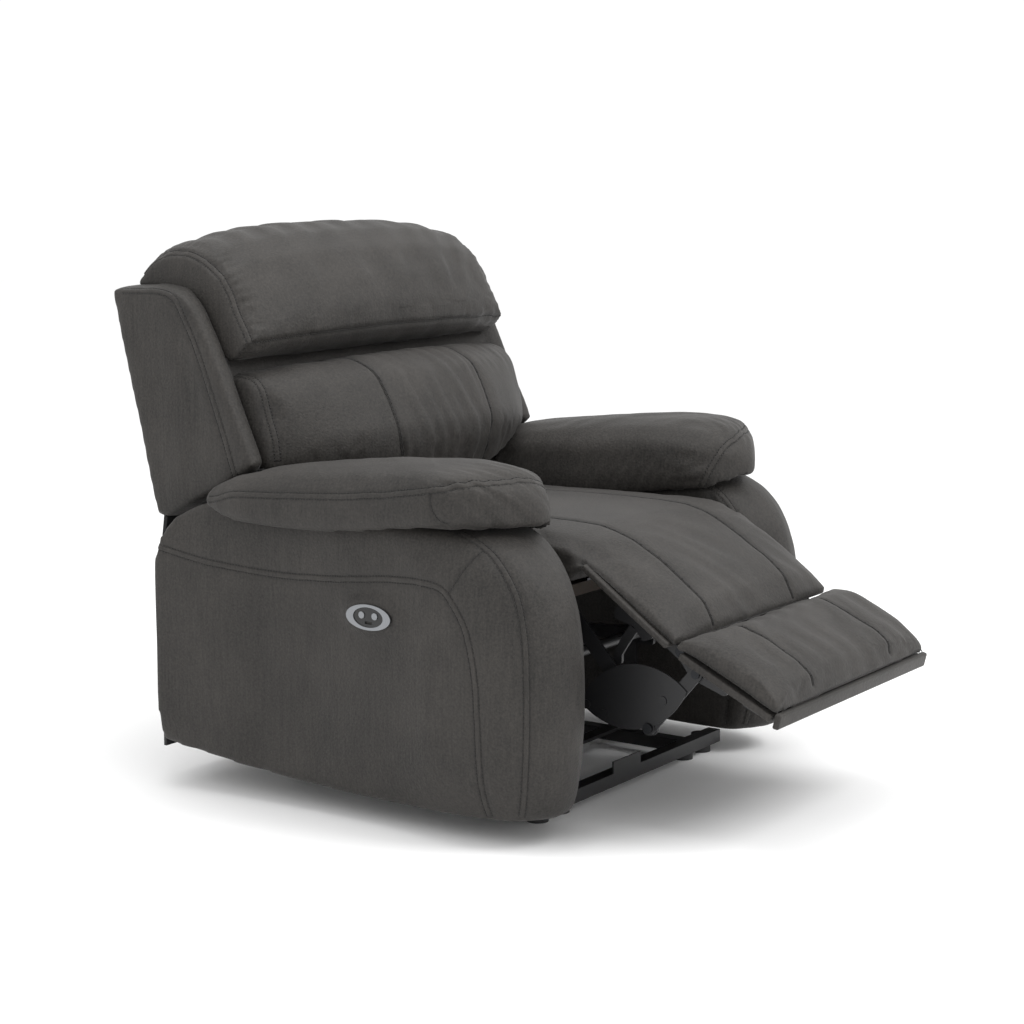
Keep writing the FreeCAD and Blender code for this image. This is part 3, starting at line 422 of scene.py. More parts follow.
def dressed(piece, material, attach):
    """Put the finish on a piece and fix it to what it moves with."""
    piece.data.materials.clear()
    piece.data.materials.append(material)
    return attach(piece)


def on(body):
    """Fixes a piece to one body."""
    return lambda piece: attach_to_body(piece, body)


def mirrored(piece, name):
    """The same piece for the other side of the chair."""
    bm = bmesh.new()
    bm.from_mesh(piece.data)
    bmesh.ops.scale(bm, vec=(-1, 1, 1), verts=bm.verts)
    bmesh.ops.reverse_faces(bm, faces=bm.faces)
    other = made(bm, name)
    for polygon in other.data.polygons:
        polygon.use_smooth = True
    return other


def flipped(seams):
    """Seam knots for the other side of the chair."""
    return [(kind, [(-x, y, z) for x, y, z in knots]) for kind, knots in seams]


ARM_INNER, ARM_OUTER = 292.0, 499.5
ARM_SIDE = [(498, 86), (500, 150), (500, 250), (500, 350), (499, 415), (492, 448), (476, 478),
            (450, 504), (415, 524), (385, 532), (350, 535), (200, 535), (50, 535), (-60, 535),
            (-100, 535), (-150, 531), (-195, 521), (-232, 501), (-260, 472), (-282, 434),
            (-296, 392), (-304, 340), (-308, 270), (-308, 205), (-303, 140), (-294, 84), (-284, 52),
            (-262, 46), (-150, 45), (0, 45), (100, 47), (200, 51), (300, 59), (400, 71), (480, 83)]
side_loop = rounded(np.array(ARM_SIDE), 150)
# How far forward the front reaches at each distance from the middle of the chair.
ARM_PLAN = [(292, 266), (295, 281), (302, 294), (312, 303), (330, 316), (355, 330), (380, 336),
            (405, 333), (430, 322), (450, 307), (465, 290), (480, 262), (490, 225), (497, 178),
            (499.5, 105)]
arm_rings = []
for reach_out, reach_front in ARM_PLAN:
    y, z = side_loop[:, 0], side_loop[:, 1]
    share = (reach_out - ARM_INNER) / (ARM_OUTER - ARM_INNER)
    tapered = 33 * np.clip((180 - z) / 134, 0, 1) ** 2 + 26 * np.clip((z - 450) / 85, 0, 1) ** 2
    x = reach_out - tapered * share ** 1.5
    arm_rings.append(np.column_stack([-x, np.where(y < 0, y * reach_front / 308, y), z]))
arm_right = skin("arm_cover_right", arm_rings)
remeshed(arm_right, 8)
relaxed(arm_right, 3)
refined(arm_right)
spots = points(arm_right)
drape = 0.9 * lumps(spots, 0.22, 4)
roll = step_up(-spots[:, 1], 0.2, 0.29)
drape += roll * 0.4 * folds(spots[:, 0] * 1.3, spots[:, 2], 0.06, 9)
spots += normals(arm_right) * drape[:, None] * MM
place(arm_right, spots)
arm_left = mirrored(arm_right, "arm_cover_left")
# The cloth lies flat under the switch.
from_switch = ((spots[:, 1] - 0.0066) / 0.066) ** 2 + ((spots[:, 2] - 0.374) / 0.036) ** 2
near_switch = np.exp(-from_switch ** 3)
outer = spots[:, 0] < -0.46
spots[outer, 0] += (near_switch * (-0.4993 - spots[:, 0]))[outer]
place(arm_right, spots)

ARM_SEAMS = [
    ("welt", [(-455, -150, 540), (-463, -185, 532), (-466, -213, 517), (-466, -247, 475), (-466, -275, 421),
              (-466, -288, 340), (-466, -290, 208), (-458, -280, 107), (-448, -268, 54)]),
    ("welt", [(-304, -150, 530), (-304, -205, 507), (-303, -245, 468), (-303, -275, 420), (-303, -296, 339),
              (-303, -302, 271), (-303, -300, 202), (-303, -294, 132), (-303, -278, 56)]),
    ("welt", [(-500, 502, 448), (-503, 387, 429), (-503, 249, 418), (-503, 115, 424), (-503, -13, 440),
              (-503, -97, 444), (-503, -138, 438), (-503, -160, 418), (-503, -188, 372), (-503, -205, 294),
              (-503, -211, 194), (-490, -212, 100), (-470, -214, 50)]),
    ("single", [(-503, -158, 434), (-494, -182, 474), (-470, -209, 516)]),
    ("single", [(-290, -200, 500), (-290, -238, 420), (-290, -250, 300), (-290, -250, 180),
                (-290, -238, 60)]),
]
sewn(arm_right, ARM_SEAMS, on("base"))
sewn(arm_left, flipped(ARM_SEAMS), on("base"))
for piece, name in ((arm_right, "right"), (arm_left, "left")):
    dressed(piece, CLOTH, on("base"))
    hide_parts(f"arm_body_{name}")


# ---- arm pads -----------------------------------------------------------------------------
# A soft pillow of foam and fibre is sewn up with a top panel, a nose and side panels, and pulled
# over each arm so that it hangs down a little on both sides. The cloth gathers at the nose seam.
PAD_HEIGHTS = {
    "top": [(-256, 562), (-250, 574), (-240, 592), (-225, 608), (-202, 620), (-169, 629), (-108, 633),
            (-25, 631), (103, 618), (238, 601), (330, 584), (372, 566)],
    "seam": [(-256, 556), (-240, 576), (-219, 592), (-185, 601), (-134, 602), (5, 583), (112, 573),
             (291, 562), (332, 553), (372, 545)],
    "outer": [(-256, 552), (-246, 545), (-230, 541), (-200, 541), (-158, 540), (-56, 525), (50, 509),
              (157, 500), (247, 502), (316, 510), (350, 522), (372, 532)],
    "inner": [(-256, 548), (-246, 532), (-230, 520), (-205, 510), (-180, 503), (-76, 492), (37, 470),
              (166, 454), (300, 450), (372, 450)],
}
# The pad's outer and inner edges, which close in at the nose.
PAD_EDGES = [(-256, 366, 350), (-252, 374, 338), (-244, 388, 322), (-232, 408, 305),
             (-217, 432, 287), (-200, 456, 272), (-180, 482, 265), (-155, 503, 264),
             (-130, 512, 265), (-100, 516, 266), (-50, 517, 266), (20, 517, 266), (100, 517, 266),
             (180, 517, 266), (240, 517, 266), (270, 517, 266), (300, 516, 266), (335, 512, 266),
             (362, 508, 266), (372, 504, 266)]
pad_rings = []
for y, out, inn in PAD_EDGES:
    top, seam, outer_low, inner_low = (np.interp(y, *zip(*PAD_HEIGHTS[key]))
                                       for key in ("top", "seam", "outer", "inner"))
    # width and drop are 1 along the arm and shrink towards the nose, and under rests on the arm.
    mid = (out + inn) / 2
    width = (out - inn) / 250
    drop = min(1, (top - inner_low) / 118)
    under = min(533, top - 14)
    loop = [(out - 10 * width, outer_low), (out, outer_low + 0.35 * (seam - outer_low)),
            (out - width, seam), (out - 22 * width, seam + 0.66 * (top - seam)),
            (mid + 55 * width, top - 3), (mid, top),
            (mid - 50 * width, top - 3), (inn + 36 * width, top - 16 * drop),
            (inn + 9 * width, top - 44 * drop), (inn, (top - 50 * drop + inner_low) / 2),
            (inn + 3 * width, inner_low + 18 * width), (inn + 12 * width, inner_low),
            (inn + 22 * width, inner_low + 10 * width), (inn + 30 * width, under), (mid, under),
            (out - 28 * width, under), (out - 17 * width, outer_low + 8)]
    pad_rings.append([(-u, y, z) for u, z in rounded(np.array(loop), 64)])
pad_right = skin("arm_pad_cover_right", pad_rings)
remeshed(pad_right, 7)
relaxed(pad_right, 3)
start = points(pad_right)
filled(pad_right, 4, 0.25 + 0.75 * step_up(start[:, 2], 0.53, 0.57))
refined(pad_right)
spots = points(pad_right)
u = -spots[:, 0]
top_face = step_up(spots[:, 2], 0.56, 0.6)
nose = np.exp(-((spots[:, 1] + 0.19) / 0.06) ** 2)
drape = 1.3 * folds(spots[:, 0] - 0.6 * spots[:, 1], spots[:, 1], 0.09, 21) * top_face
drape += 1.3 * folds(spots[:, 0] + spots[:, 2], spots[:, 1], 0.034, 22) * nose
inner_side = step_up(-u, -0.31, -0.27)
drape += 0.9 * folds(spots[:, 1] + 0.5 * spots[:, 2], spots[:, 2], 0.04, 23) * inner_side
spots += normals(pad_right) * drape[:, None] * MM
inboard = 1 - step_up(u, 0.441, 0.449)
spots[:, 1] -= inboard * np.maximum(spots[:, 1] - 0.283, 0)
place(pad_right, spots)
pad_left = mirrored(pad_right, "arm_pad_cover_left")
PAD_SEAMS = [
    ("welt", [(-508, 364, 545), (-518, 332, 554), (-520, 291, 563), (-522, 112, 574), (-522, 5, 585),
              (-522, -60, 595), (-512, -134, 605), (-492, -165, 613), (-465, -190, 619), (-430, -208, 621),
              (-385, -222, 620), (-340, -228, 608), (-305, -218, 588), (-280, -205, 550), (-274, -192, 520),
              (-276, -185, 500)]),
    ("single", [(-514, -130, 602), (-516, -132, 572), (-512, -142, 550), (-500, -152, 538)]),
]
sewn(pad_right, PAD_SEAMS, on("base"), 2.8)
sewn(pad_left, flipped(PAD_SEAMS), on("base"), 2.8)
for piece, name in ((pad_right, "right"), (pad_left, "left")):
    dressed(piece, CLOTH, on("base"))
    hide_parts(f"arm_pad_{name}")


# ---- back shell ---------------------------------------------------------------------------
# The outside of the back is a plywood and steel frame with foam on its sides and cloth pulled
# tight over it. Its side panels meet the front border in a double topstitched seam.
SHELL_SIDE = [(538, 486), (564, 586), (594, 706), (625, 830), (642, 897), (636, 903), (600, 905),
              (550, 909), (515, 908), (490, 904), (468, 896), (450, 882), (434, 862), (402, 806),
              (369, 737), (336, 665), (318, 625), (306, 598), (318, 586), (352, 568), (400, 543),
              (460, 513), (512, 488)]
shell_loop = rounded(np.array(SHELL_SIDE), 120)
shell_rings = []
for x in (-444, -443, -440, -432, -414, -390, -340, -200, 0, 200, 340, 390, 414, 432, 440, 443, 444):
    share = abs(x) / 444
    inset = 7 * max(0, (share - 0.9) / 0.1) ** 3
    middle = shell_loop.mean(axis=0)
    toward = middle - shell_loop
    toward /= np.linalg.norm(toward, axis=1, keepdims=True)
    ring = shell_loop + toward * inset
    held_back = np.where(ring[:, 0] < 470, 26 * (1 - step_up(share, 0.86, 0.93)), 0)
    ring = ring + np.column_stack([held_back, 0 * held_back])
    shell_rings.append(np.column_stack([np.full(len(ring), x), ring]))
shell = skin("back_shell_cover", shell_rings)
remeshed(shell, 8)
relaxed(shell, 2)
refined(shell)
spots = points(shell)
drape = 1.2 * lumps(spots, 0.2, 31) + 0.7 * folds(spots[:, 1], spots[:, 2], 0.06, 32)
spots += normals(shell) * drape[:, None] * MM
place(shell, spots)
SHELL_SIDE_SEAM = [(440, 612, 898), (440, 560, 899), (440, 519, 898), (440, 490, 889),
                   (440, 472, 870), (440, 438, 809), (440, 405, 731), (440, 378, 661),
                   (440, 357, 600), (440, 350, 578)]
SHELL_SEAMS = [("welt", SHELL_SIDE_SEAM)] + flipped([("welt", SHELL_SIDE_SEAM)])
SHELL_SEAMS += [("single", [(side * 432, 541, 500), (side * 432, 590, 700), (side * 432, 634, 884)])
                for side in (-1, 1)]
sewn(shell, SHELL_SEAMS, on("back"))
dressed(shell, CLOTH, on("back"))
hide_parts("back_shell")


# ---- headrest -----------------------------------------------------------------------------
# The head cushion wraps over the top of the back. It is a fibre-filled bag with a shaped gusset
# at each end, topstitched twice, and its long panel is gathered, so it creases over the top.
def between(side, middle, share):
    """Outline between the side of a cushion and its middle."""
    return np.asarray(side, float) * share + np.asarray(middle, float) * (1 - share)


HEAD_HALF = 400
HEAD_SIDE = [(560, 898), (618, 901), (606, 926), (583, 946), (545, 961), (497, 963), (458, 951),
             (414, 921), (388, 880), (367, 838), (349, 804), (372, 780), (396, 766), (430, 800),
             (470, 860), (505, 892)]
HEAD_MIDDLE = [(560, 898), (626, 908), (617, 942), (590, 972), (545, 999), (497, 1002), (444, 988),
               (393, 954), (356, 906), (334, 857), (322, 812), (348, 784), (384, 768), (430, 800),
               (470, 860), (505, 892)]
head_rings = []
for x in np.r_[-400, -398, -392, -380, np.linspace(-350, 350, 15), 380, 392, 398, 400]:
    share = (abs(x) / HEAD_HALF) ** 3.2
    ring = rounded(between(HEAD_SIDE, HEAD_MIDDLE, share), 96)
    inset = 5 * max(0, (abs(x) - 388) / 12) ** 2
    toward = ring.mean(axis=0) - ring
    ring = ring + toward / np.linalg.norm(toward, axis=1, keepdims=True) * inset
    head_rings.append(np.column_stack([np.full(len(ring), x), ring]))
headrest = skin("headrest_cover", head_rings)
remeshed(headrest, 7)
relaxed(headrest, 2)
start = points(headrest)
filled(headrest, 10, 0.15 + 0.85 * (1 - step_up(np.abs(start[:, 0]), 0.385, 0.399)))
refined(headrest)
spots = points(headrest)
facing = normals(headrest)
around_bend = step_up(spots[:, 2], 0.84, 0.93)
inside = 1 - step_up(np.abs(spots[:, 0]), 0.36, 0.395)
bend = np.arctan2(spots[:, 2] - 0.85, spots[:, 1] - 0.5)
slanted = spots[:, 0] + 0.05 * bend
crease = folds(slanted, bend * 0.2, 0.075, 41)
drape = 2.3 * crease * around_bend * inside
drape += 1.1 * folds(slanted, bend * 0.2, 0.12, 42) * inside * (1 - around_bend)
gather = np.exp(-((np.abs(spots[:, 0]) - 0.372) / 0.02) ** 2)
drape += 0.8 * folds(bend * 0.2, spots[:, 0], 0.02, 43) * gather
spots += facing * drape[:, None] * MM
place(headrest, spots)
HEAD_GUSSET = [(-395, 606, 928), (-395, 583, 950), (-395, 545, 966), (-395, 497, 968), (-395, 458, 956),
               (-395, 412, 925), (-395, 385, 883), (-395, 364, 841), (-395, 345, 806)]
HEAD_SEAMS = [("welt", HEAD_GUSSET)] + flipped([("welt", HEAD_GUSSET)])
HEAD_SEAMS += [("single", [(-394, 345, 804), (-300, 333, 808), (-150, 322, 810), (0, 318, 811),
                           (150, 322, 810), (300, 333, 808), (394, 345, 804)])]
HEAD_SEAMS += [("single", [(side * 399, 349, 800), (side * 398, 372, 782), (side * 396, 394, 768)])
               for side in (-1, 1)]
sewn(headrest, HEAD_SEAMS, on("back"), 3.2)
dressed(headrest, CLOTH, on("back"))
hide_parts("headrest_cushion")


# ---- lumbar cushion -----------------------------------------------------------------------
# The lower back cushion is one fibre-filled bag of five panels: a creased middle, two smooth wings
# and a border at each end. Ladder stitching joins the middle to the wings.
LUMBAR_HALF = 398
LUMBAR_SIDE = [(420, 604), (440, 650), (446, 715), (428, 748), (386, 752), (350, 748), (331, 726),
               (318, 685), (303, 640), (299, 604), (308, 586), (360, 578)]
LUMBAR_MIDDLE = [(410, 530), (430, 620), (440, 715), (415, 758), (370, 764), (312, 764), (250, 740),
                 (224, 695), (200, 640), (192, 585), (205, 530), (290, 518)]
lumbar_rings = []
for x in np.r_[-398, -396, -390, -378, np.linspace(-350, 350, 17), 378, 390, 396, 398]:
    share = (abs(x) / LUMBAR_HALF) ** 2.3
    ring = rounded(between(LUMBAR_SIDE, LUMBAR_MIDDLE, share), 90)
    inset = 5 * max(0, (abs(x) - 386) / 12) ** 2
    toward = ring.mean(axis=0) - ring
    ring = ring + toward / np.linalg.norm(toward, axis=1, keepdims=True) * inset
    lumbar_rings.append(np.column_stack([np.full(len(ring), x), ring]))
lumbar = skin("lumbar_cover", lumbar_rings)
remeshed(lumbar, 7)
relaxed(lumbar, 2)
start = points(lumbar)
bulging = (1 - step_up(np.abs(start[:, 0]), 0.37, 0.397)) * (1 - step_up(start[:, 1], 0.36, 0.4))
filled(lumbar, 11, 0.2 + 0.8 * bulging)
refined(lumbar)
spots = points(lumbar)
facing = normals(lumbar)
panel = 1 - step_up(np.abs(spots[:, 0]), 0.118, 0.146)
front = 1 - step_up(spots[:, 1], 0.34, 0.39)
drape = 1.9 * folds(spots[:, 0] + 0.03 * spots[:, 2], spots[:, 2], 0.045, 51) * panel * front
wing = step_up(np.abs(spots[:, 0]), 0.15, 0.2) * (1 - step_up(np.abs(spots[:, 0]), 0.36, 0.39))
drape += 2.0 * lumps(spots, 0.16, 52) * wing * front
crest = np.exp(-((spots[:, 2] - 0.745) / 0.03) ** 2)
drape += 1.0 * folds(spots[:, 0], spots[:, 1], 0.06, 53) * crest * wing
spots += facing * drape[:, None] * MM
# Below the tops of the arm pads the cushion is only as wide as the space between them.
widest = 0.2625 + 0.1415 * step_up(spots[:, 2], 0.568, 0.592)
spots[:, 0] = np.clip(spots[:, 0], -widest, widest)
place(lumbar, spots)
LUMBAR_END = [(-386, 430, 752), (-386, 386, 756), (-386, 352, 752), (-386, 330, 728), (-386, 316, 685),
              (-386, 301, 640), (-386, 297, 604)]
LUMBAR_LADDER = [(-150, 395, 764), (-150, 345, 772), (-150, 300, 762), (-150, 262, 742),
                 (-150, 228, 698), (-148, 204, 644), (-145, 192, 585), (-144, 196, 530)]
LUMBAR_SEAMS = [("welt", LUMBAR_END), ("braid", LUMBAR_LADDER)]
LUMBAR_SEAMS += flipped(LUMBAR_SEAMS)
sewn(lumbar, LUMBAR_SEAMS, on("back"), 3.4)
dressed(lumbar, CLOTH, on("back"))
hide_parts("lumbar_cushion")


# ---- seat and chaise ----------------------------------------------------------------------
# One long cover runs from the seat over its front edge and down the chaise, so there is no gap to
# the leg rest. It bends at the seat's edge. Two ladder-stitched seams run its whole length.
SEAT_SIDE = [(300, 410), (300, 468), (286, 482), (200, 484), (100, 485), (0, 486), (-100, 487),
             (-180, 487), (-235, 484), (-262, 476), (-302, 458), (-342, 432), (-385, 404),
             (-430, 371), (-459, 346), (-455, 338), (-448, 341), (-400, 374), (-350, 409),
             (-300, 444), (-280, 452), (-258, 438), (-246, 424), (-188, 422), (-180, 410), (0, 410),
             (200, 410)]
SEAT_MIDDLE = [(300, 410), (300, 476), (284, 492), (200, 495), (100, 497), (0, 499), (-100, 500),
               (-180, 501), (-232, 499), (-266, 490), (-304, 475), (-345, 451), (-391, 420),
               (-436, 384), (-463, 350), (-455, 338), (-448, 341), (-400, 374), (-350, 409),
               (-300, 444), (-280, 452), (-258, 438), (-246, 424), (-188, 422), (-180, 410),
               (0, 410), (200, 410)]
seat_rings = []
for x in np.r_[-279, -277, -271, -260, np.linspace(-240, 240, 13), 260, 271, 277, 279]:
    share = (abs(x) / 279) ** 4
    ring = between(SEAT_SIDE, SEAT_MIDDLE, share)
    seat_rings.append(np.column_stack([np.full(240, x), rounded(ring, 240)]))
seat = skin("seat_and_chaise_cover", seat_rings)
remeshed(seat, 7)
relaxed(seat, 2)
start = points(seat)
underside = np.interp(start[:, 1], [-0.46, -0.28, -0.24, 0.3], [0.338, 0.452, 0.43, 0.42])
upper = step_up(start[:, 2] - underside, 0.002, 0.03)
filled(seat, 10, upper)
refined(seat)
spots = points(seat)
facing = normals(seat)
above = step_up(facing[:, 2], 0.1, 0.5)
chaise = 1 - step_up(spots[:, 1], -0.3, -0.24)
drape = 2.6 * lumps(spots, 0.19, 61) * above
drape += 1.6 * folds(spots[:, 1] + 0.8 * spots[:, 0], spots[:, 0], 0.09, 62) * above * chaise
at_bend = np.exp(-((spots[:, 1] + 0.27) / 0.04) ** 2) * step_up(np.abs(spots[:, 0]), 0.12, 0.26)
drape += 1.6 * folds(spots[:, 1] - 0.4 * spots[:, 0], spots[:, 0], 0.05, 63) * above * at_bend
spots += facing * drape[:, None] * MM
limit = np.where(spots[:, 1] > -0.262, 0.2895, 0.2815)
spots[:, 0] = np.clip(spots[:, 0], -limit, limit)
place(seat, spots)


def bends(piece):
    """Bakes the piece's placement into its mesh; it is fixed to no body."""
    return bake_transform(piece)


LADDER = [(-146, 250, 500), (-146, 100, 503), (-146, 0, 505), (-146, -100, 506), (-146, -190, 507),
          (-146, -240, 503), (-146, -300, 482), (-146, -350, 455), (-146, -400, 420),
          (-146, -440, 388), (-146, -462, 356)]
CHAISE_EDGE = [(-279, -268, 470), (-280, -302, 450), (-280, -350, 418), (-280, -400, 383),
               (-280, -455, 343)]
SEAT_SEAMS = [("braid", LADDER), ("single", CHAISE_EDGE)]
SEAT_SEAMS += flipped(SEAT_SEAMS)
sewn(seat, SEAT_SEAMS, bends, 2.8)
dressed(seat, CLOTH, bends)
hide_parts("seat_cushion", "chaise_pad")


# ---- footrest pad -------------------------------------------------------------------------
# A thinner foam pad on the footrest board, sewn to the end of the chaise cover. Its cloth is a
# little loose, so it creases lengthwise, and it ends in a flat border over the board's front edge.
FOOT_SIDE = [(-457, 338), (-463, 349), (-500, 346), (-550, 328), (-602, 303), (-640, 275),
             (-654, 259), (-650, 251), (-620, 266), (-580, 287), (-530, 311), (-490, 328)]
FOOT_MIDDLE = [(-456, 338), (-461, 352), (-508, 354), (-556, 337), (-612, 310), (-648, 283),
               (-658, 262), (-650, 251), (-620, 262), (-580, 282), (-530, 306), (-490, 325)]
foot_rings = []
for x in np.r_[-284, -282, -276, -264, np.linspace(-240, 240, 13), 264, 276, 282, 284]:
    share = (abs(x) / 284) ** 4
    ring = rounded(between(FOOT_SIDE, FOOT_MIDDLE, share), 90)
    foot_rings.append(np.column_stack([np.full(90, x), ring]))
foot = skin("footrest_cover", foot_rings)
remeshed(foot, 6)
relaxed(foot, 2)
start = points(foot)
filled(foot, 8, step_up(normals(foot)[:, 2], -0.3, 0.3))
refined(foot)
spots = points(foot)
facing = normals(foot)
above = step_up(facing[:, 2], 0.1, 0.5)
drape = 1.1 * folds(spots[:, 0] - 0.25 * spots[:, 1], spots[:, 1], 0.065, 71) * above
drape += 1.5 * lumps(spots, 0.15, 72) * above
spots += facing * drape[:, None] * MM
spots[:, 0] = np.clip(spots[:, 0], -0.286, 0.286)
place(foot, spots)
FOOT_LADDER = [(-146, -474, 346), (-146, -510, 352), (-146, -556, 336), (-146, -610, 310),
               (-146, -652, 278)]
FOOT_RIM = [(-285, -478, 334), (-285, -530, 316), (-285, -580, 292), (-285, -630, 266),
            (-272, -654, 256), (-150, -658, 258), (0, -658, 259), (150, -658, 258),
            (272, -654, 256), (285, -630, 266), (285, -580, 292), (285, -530, 316),
            (285, -478, 334)]
FOOT_SEAMS = [("braid", FOOT_LADDER)] + flipped([("braid", FOOT_LADDER)]) + [("single", FOOT_RIM)]
sewn(foot, FOOT_SEAMS, on("footrest"), 2.2)
dressed(foot, CLOTH, on("footrest"))
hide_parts("footrest_pad")


# ---- covered boards -----------------------------------------------------------------------
# The chaise and the footrest are plywood boards wrapped in the same cloth, with soft edges. The
# front border is a separate covered slip screwed to the footrest board.
def covered_board(name, outline, half, soft_edge):
    """An outline in Y and Z pushed across the chair, with its edges rounded."""
    bm = bmesh.new()
    profile = bm.faces.new([bm.verts.new((-half * MM, y * MM, z * MM)) for y, z in outline])
    pushed = bmesh.ops.extrude_face_region(bm, geom=[profile])
    moved = [item for item in pushed["geom"] if isinstance(item, bmesh.types.BMVert)]
    bmesh.ops.translate(bm, verts=moved, vec=(2 * half * MM, 0, 0))
    bmesh.ops.recalc_face_normals(bm, faces=bm.faces)
    bmesh.ops.bevel(bm, geom=bm.edges, offset=soft_edge * MM, segments=4, profile=0.5, affect="EDGES",
                    material=-1)
    board = made(bm, name)
    for polygon in board.data.polygons:
        polygon.use_smooth = True
    return board


BOARDS = [
    ("chaise_board_cover", [(-272.6, 451.5), (-279.0, 461.0), (-446.0, 343.5), (-439.8, 334.6)], 281.5, 3.5,
     "chaise", "chaise_board"),
    ("footrest_board_cover", [(-463.8, 320.2), (-469.6, 332.4), (-641.6, 249.6), (-635.9, 237.8)], 281.5, 3.5,
     "footrest", "footrest_board"),
    ("footrest_border_cover", [(-641, 229), (-647, 255), (-658, 252), (-652, 227)], 281.5, 3.5,
     "footrest", "footrest_border"),
]
for name, outline, half, soft_edge, body, node in BOARDS:
    board = covered_board(name, outline, half, soft_edge)
    dressed(board, CLOTH, on(body))
    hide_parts(node)


# ---- steelwork, drive, boards and switch --------------------------------------------------
# These pieces keep their CAD shapes. Plates, links and rails are pressed steel, pins and bolts are
# plated, boards are plywood and hardboard, and housings are moulded.
def grained(name, dark, light, size, strength, roughness, spread=0.08, stretch=(1, 1, 1), **sockets):
    """A hard finish with a fine mottle, its grain size in millimetres."""
    material, shader, tree = new_material(name, **sockets)
    place_on = add(tree, "TexCoord").outputs["Object"]
    scaled = add(tree, "Mapping", {"Scale": [s / (size * MM) for s in stretch]}, {"Vector": place_on})
    mottle = add(tree, "TexNoise", {"Scale": 1.0, "Detail": 3.0}, {"Vector": scaled.outputs[0]})
    colour = add(tree, "Mix", {"A": linear(dark), "B": linear(light)}, {"Factor": mottle.outputs[0]},
                 data_type="RGBA")
    tree.links.new(colour.outputs["Result"], shader.inputs["Base Color"])
    gloss = add(tree, "MapRange", {"To Min": roughness - spread, "To Max": roughness + spread},
                {"Value": mottle.outputs[0]})
    tree.links.new(gloss.outputs[0], shader.inputs["Roughness"])
    bump = add(tree, "Bump", {"Strength": strength, "Distance": 0.0003}, {"Height": mottle.outputs[0]})
    tree.links.new(bump.outputs[0], shader.inputs["Normal"])
    return material


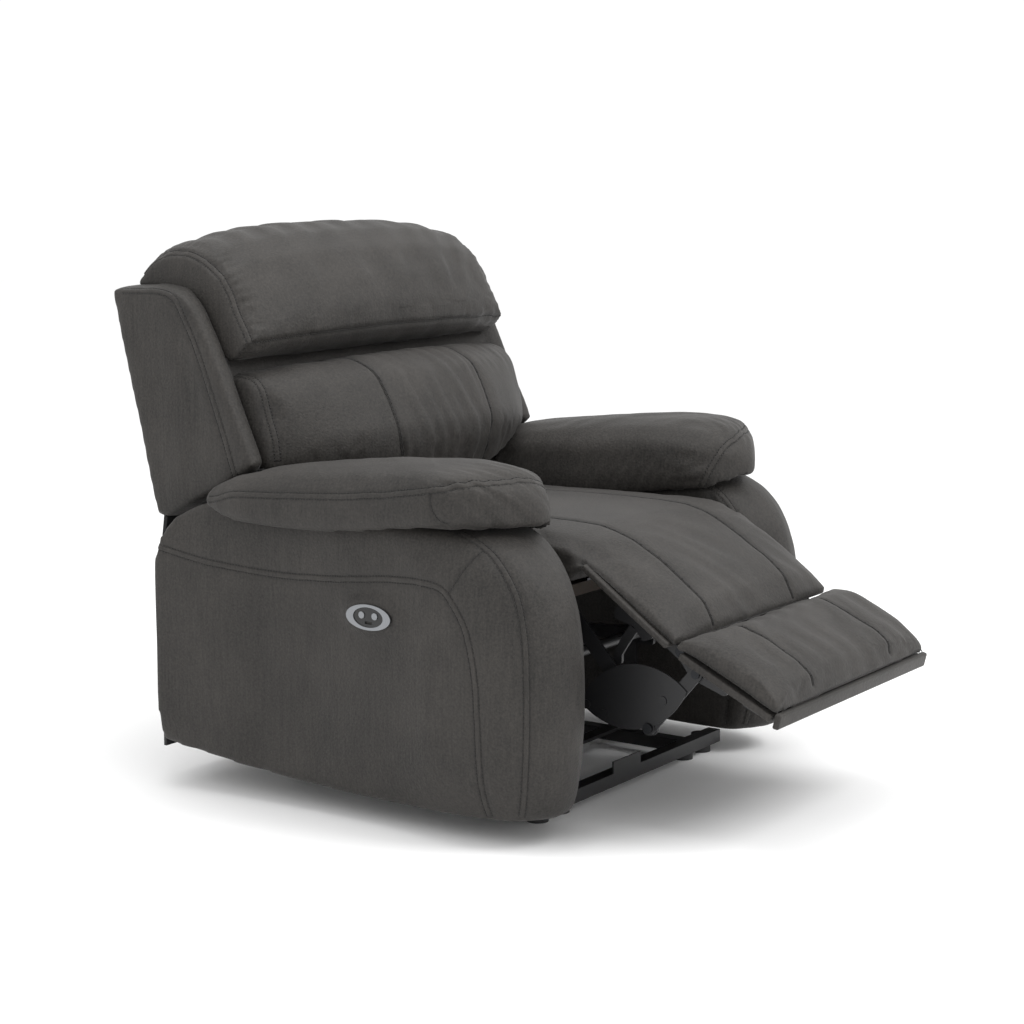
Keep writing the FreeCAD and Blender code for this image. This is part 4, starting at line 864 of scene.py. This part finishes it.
FINISHES = {
    # Powder coat over pressed steel: satin black, with a faint orange-peel mottle.
    "black_steel": (grained("satin_black_powder_coat", "#101011", "#1c1c1e", 1.5, 0.25, 0.42),
                    ["mechanism_plate_left", "mechanism_plate_right", "base_side_rails",
                     "front_cross_rail", "rear_cross_rail", "cross_braces", "main_links",
                     "front_links", "link_covers", "cover_rivets", "drive_tube", "chaise_brackets",
                     "legrest_stays", "footrest_brackets", "back_brackets", "motor_mount_bracket",
                     "rail_post", "push_fork"]),
    # Black zinc plating on bolts and pins: dark grey metal with a dull shine.
    "zinc_steel": (grained("black_zinc_plated_steel", "#262729", "#3a3b3d", 2.0, 0.1, 0.38,
                           Metallic=1.0),
                   ["pivot_bolts", "arm_bolts", "elbow_pins", "knee_pins", "footrest_pins",
                    "lead_screw"]),
    # Bare drawn wire: mid-grey metal, drawn smooth.
    "spring_steel": (grained("drawn_spring_wire", "#5c5c60", "#808085", 2.0, 0.1, 0.4, Metallic=1.0),
                     ["seat_springs", "back_springs", "spring_clips"]),
    # Polypropylene from a textured mould: matt black.
    "black_plastic": (grained("moulded_black_polypropylene", "#121213", "#1d1d1e", 1.2, 0.3, 0.55),
                      ["floor_glides", "gearbox_housing", "motor_housing", "control_box",
                       "power_inlet", "actuator_carriage", "switch_housing", "usb_socket"]),
    # Extruded aluminium: pale metal with fine lines along the rail.
    "rail_aluminium": (grained("extruded_aluminium", "#a4a6aa", "#c2c4c7", 3.0, 0.1, 0.35,
                               Metallic=1.0, stretch=(1, 0.04, 1)), ["actuator_rail"]),
    # Plywood stained dark, so that it doesn't show through the gaps: the grain still shows.
    "timber": (grained("dark_stained_plywood", "#2b231c", "#41352a", 6.0, 0.3, 0.7,
                       stretch=(1, 0.08, 1)),
               ["arm_frame_panels", "seat_frame", "back_frame", "rear_battens"]),
    # Hardboard with a black paper foil: flat and nearly matt.
    "rear_board": (grained("black_foiled_hardboard", "#141414", "#1e1e1f", 1.0, 0.3, 0.6),
                   ["rear_panel"]),
    # Spunbonded dust cloth: black and fibrous, with no shine.
    "black_cambric": (grained("spunbonded_black_cambric", "#0e0e0e", "#1b1b1b", 1.6, 0.6, 0.9),
                      ["back_skirt"]),
    # Satin anodised aluminium: grey metal with a soft highlight.
    "switch_silver": (grained("satin_anodised_aluminium", "#7d7f82", "#8f9194", 0.8, 0.12, 0.33,
                              Metallic=1.0),
                      ["switch_bezel", "button_open", "button_close"]),
    # ABS from a polished mould: glossy black.
    "switch_black": (grained("polished_black_abs", "#0a0a0b", "#101011", 2.0, 0.03, 0.18, 0.02),
                     ["switch_face"]),
}
for material, names in FINISHES.values():
    for name in names:
        nodes[name].data.materials.clear()
        nodes[name].data.materials.append(material)


# ---- floor, light and camera --------------------------------------------------------------
bm = bmesh.new()
bmesh.ops.create_grid(bm, x_segments=1, y_segments=1, size=12)
floor = made(bm, "studio_floor")
paper, _, _ = new_material("matt_white_paper", Base_Color=linear("#fbfbfb"), Roughness=0.9)
floor.data.materials.append(paper)

world = bpy.data.worlds.new("studio")
world.use_nodes = True
world.node_tree.nodes["Background"].inputs["Color"].default_value = (1, 1, 1, 1)
world.node_tree.nodes["Background"].inputs["Strength"].default_value = 1.04
scene.world = world
scene.view_settings.view_transform = "Standard"


def soft_light(name, place_at, size, power):
    """A square soft box that faces the chair."""
    lamp = bpy.data.lights.new(name, "AREA")
    lamp.size = size
    lamp.energy = power
    box_light = bpy.data.objects.new(name, lamp)
    scene.collection.objects.link(box_light)
    box_light.location = place_at
    aim = Vector((0, 0, 0.5)) - Vector(place_at)
    box_light.rotation_euler = aim.to_track_quat("-Z", "Y").to_euler()


soft_light("front_box", (0.8, -2.9, 3.3), 1.8, 80)
soft_light("top_box", (-0.4, 0.2, 3.4), 1.6, 40)
soft_light("side_box", (-3.2, 0.8, 2.4), 1.8, 14)

AZIMUTH, ELEVATION = math.radians(-55.634), math.radians(9.173)
back_way = Vector((math.sin(AZIMUTH) * math.cos(ELEVATION), -math.cos(AZIMUTH) * math.cos(ELEVATION),
                   math.sin(ELEVATION)))
right_way = Vector((math.cos(AZIMUTH), math.sin(AZIMUTH), 0))
up_way = back_way.cross(right_way)
lens = bpy.data.cameras.new("camera")
lens.lens = 81.859
lens.sensor_width = 36
camera = bpy.data.objects.new("camera", lens)
scene.collection.objects.link(camera)
turned = Matrix((right_way, up_way, back_way)).transposed().to_4x4()
turned.translation = (-3.528, -2.355, 1.172)
camera.matrix_world = turned
scene.camera = camera
